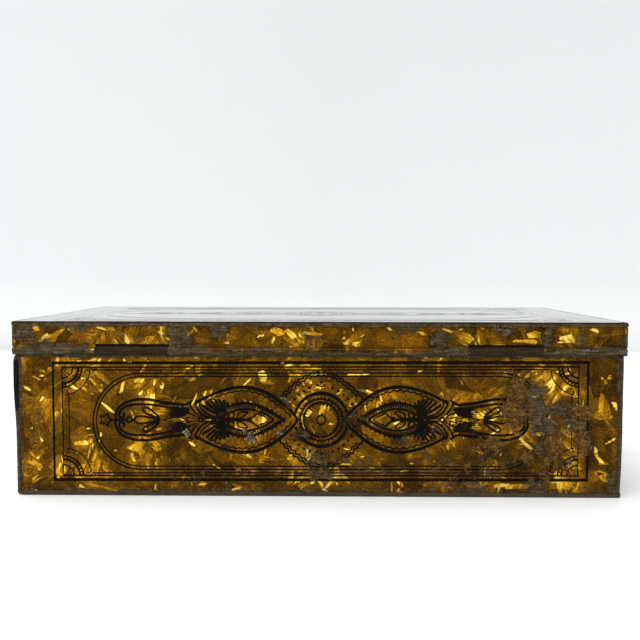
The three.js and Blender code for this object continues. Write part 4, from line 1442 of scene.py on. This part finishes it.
def chance_slips(count, half_long, low, high, seed):
    """Slips as in the tables above that fall by chance, in bunches of one to four."""
    chance = np.random.default_rng(seed)
    slips = []
    while len(slips) < count:
        u, v, way = chance.uniform(-half_long, half_long), chance.uniform(low, high), chance.uniform(-90, 90)
        for _ in range(chance.integers(1, 5)):
            length = 1.3 + 4.5 * chance.random() ** 2.2
            width = min(0.5 + 1.3 * chance.random() ** 2, 0.5 * length)
            shine = 0.62 + 0.36 * chance.random() ** 1.4
            slips.append((u, float(np.clip(v, low, high)), length, width, way, shine))
            u, v, way = u + chance.normal(0, 2.2), v + chance.normal(0, 2.2), way + chance.normal(0, 16)
    return slips[:count]


def scatter_slips(slips, low_top, seed):
    """A plate of ragged slips, and how bright each of its points is."""
    chance = np.random.default_rng(seed)
    plate, bright = Plate(), []
    for number, (u, v, length, width, turn, shine) in enumerate(slips):
        cos, sin = direction(turn)
        outline = (np.array(RAGGED) + chance.uniform(-0.14, 0.14, (len(RAGGED), 2))) * (length, width)
        plate.fill(outline @ np.array(((cos, sin), (-sin, cos))) + (u, v), low_top + 0.0006 * (number % 20))
        tilt = chance.uniform(-0.34, 0.34) * (shine <= 1) / length
        bright += [shine + tilt * ((x - u) * cos + (y - v) * sin) for x, y, _ in plate.points[len(bright):]]
    return plate, bright


def crumbs(chips, kind, count, seed):
    """Each chip broken into so many small specks that overlap along it."""
    chance = np.random.default_rng(seed)
    specks = []
    for u, v, length, width, turn in chips:
        cos, sin = direction(turn)
        for _ in range(count):
            along, across = chance.normal(0, 0.3) * length, chance.normal(0, 0.28) * width
            speck = chance.uniform(0.25, 0.75) * width
            place = (u + along * cos - across * sin, v + along * sin + across * cos)
            specks.append((*place, speck * chance.uniform(1, 1.8), speck, chance.uniform(-90, 90), kind))
    return specks


SLIP_PIECES = (  # piece, panel, how many by chance, half length, lowest, highest, and those placed one by one
    ("back_wall_crystal_glints", "back", 110, 122, 4, 56, BACK_CRYSTAL_GLINTS),
    ("front_wall_crystal_glints", "front", 170, 122, 4, 56, []),
    ("left_wall_crystal_glints", "left", 90, 71, 4, 56, []),
    ("right_wall_crystal_glints", "right", 90, 71, 4, 56, []),
    ("lid_rim_crystal_glints", "back rim", 16, 124, 65.2, 70.2, RIM_CRYSTAL_GLINTS))
for seed, (name, side, count, half_long, low, high, by_hand) in enumerate(SLIP_PIECES, start=21):
    slips = chance_slips(count, half_long, low, high, seed) + by_hand
    plate, bright = scatter_slips(slips, SLIP_TOP, seed=len(slips))
    lay(name, plate, side, gold_lacquer, bright)
    print(name, len(slips), "slips,", len(plate.faces), "faces")
specks = crumbs(TAN_CHIPS, TAN, 3, seed=8) + crumbs(BARE_CHIPS, BARE, 14, seed=9)
plate, bright = scatter_slips(specks, CHIP_TOP, seed=7)
lay("back_wall_chips", plate, "back", gold_lacquer, bright)
print("back_wall_chips", len(specks), "specks")
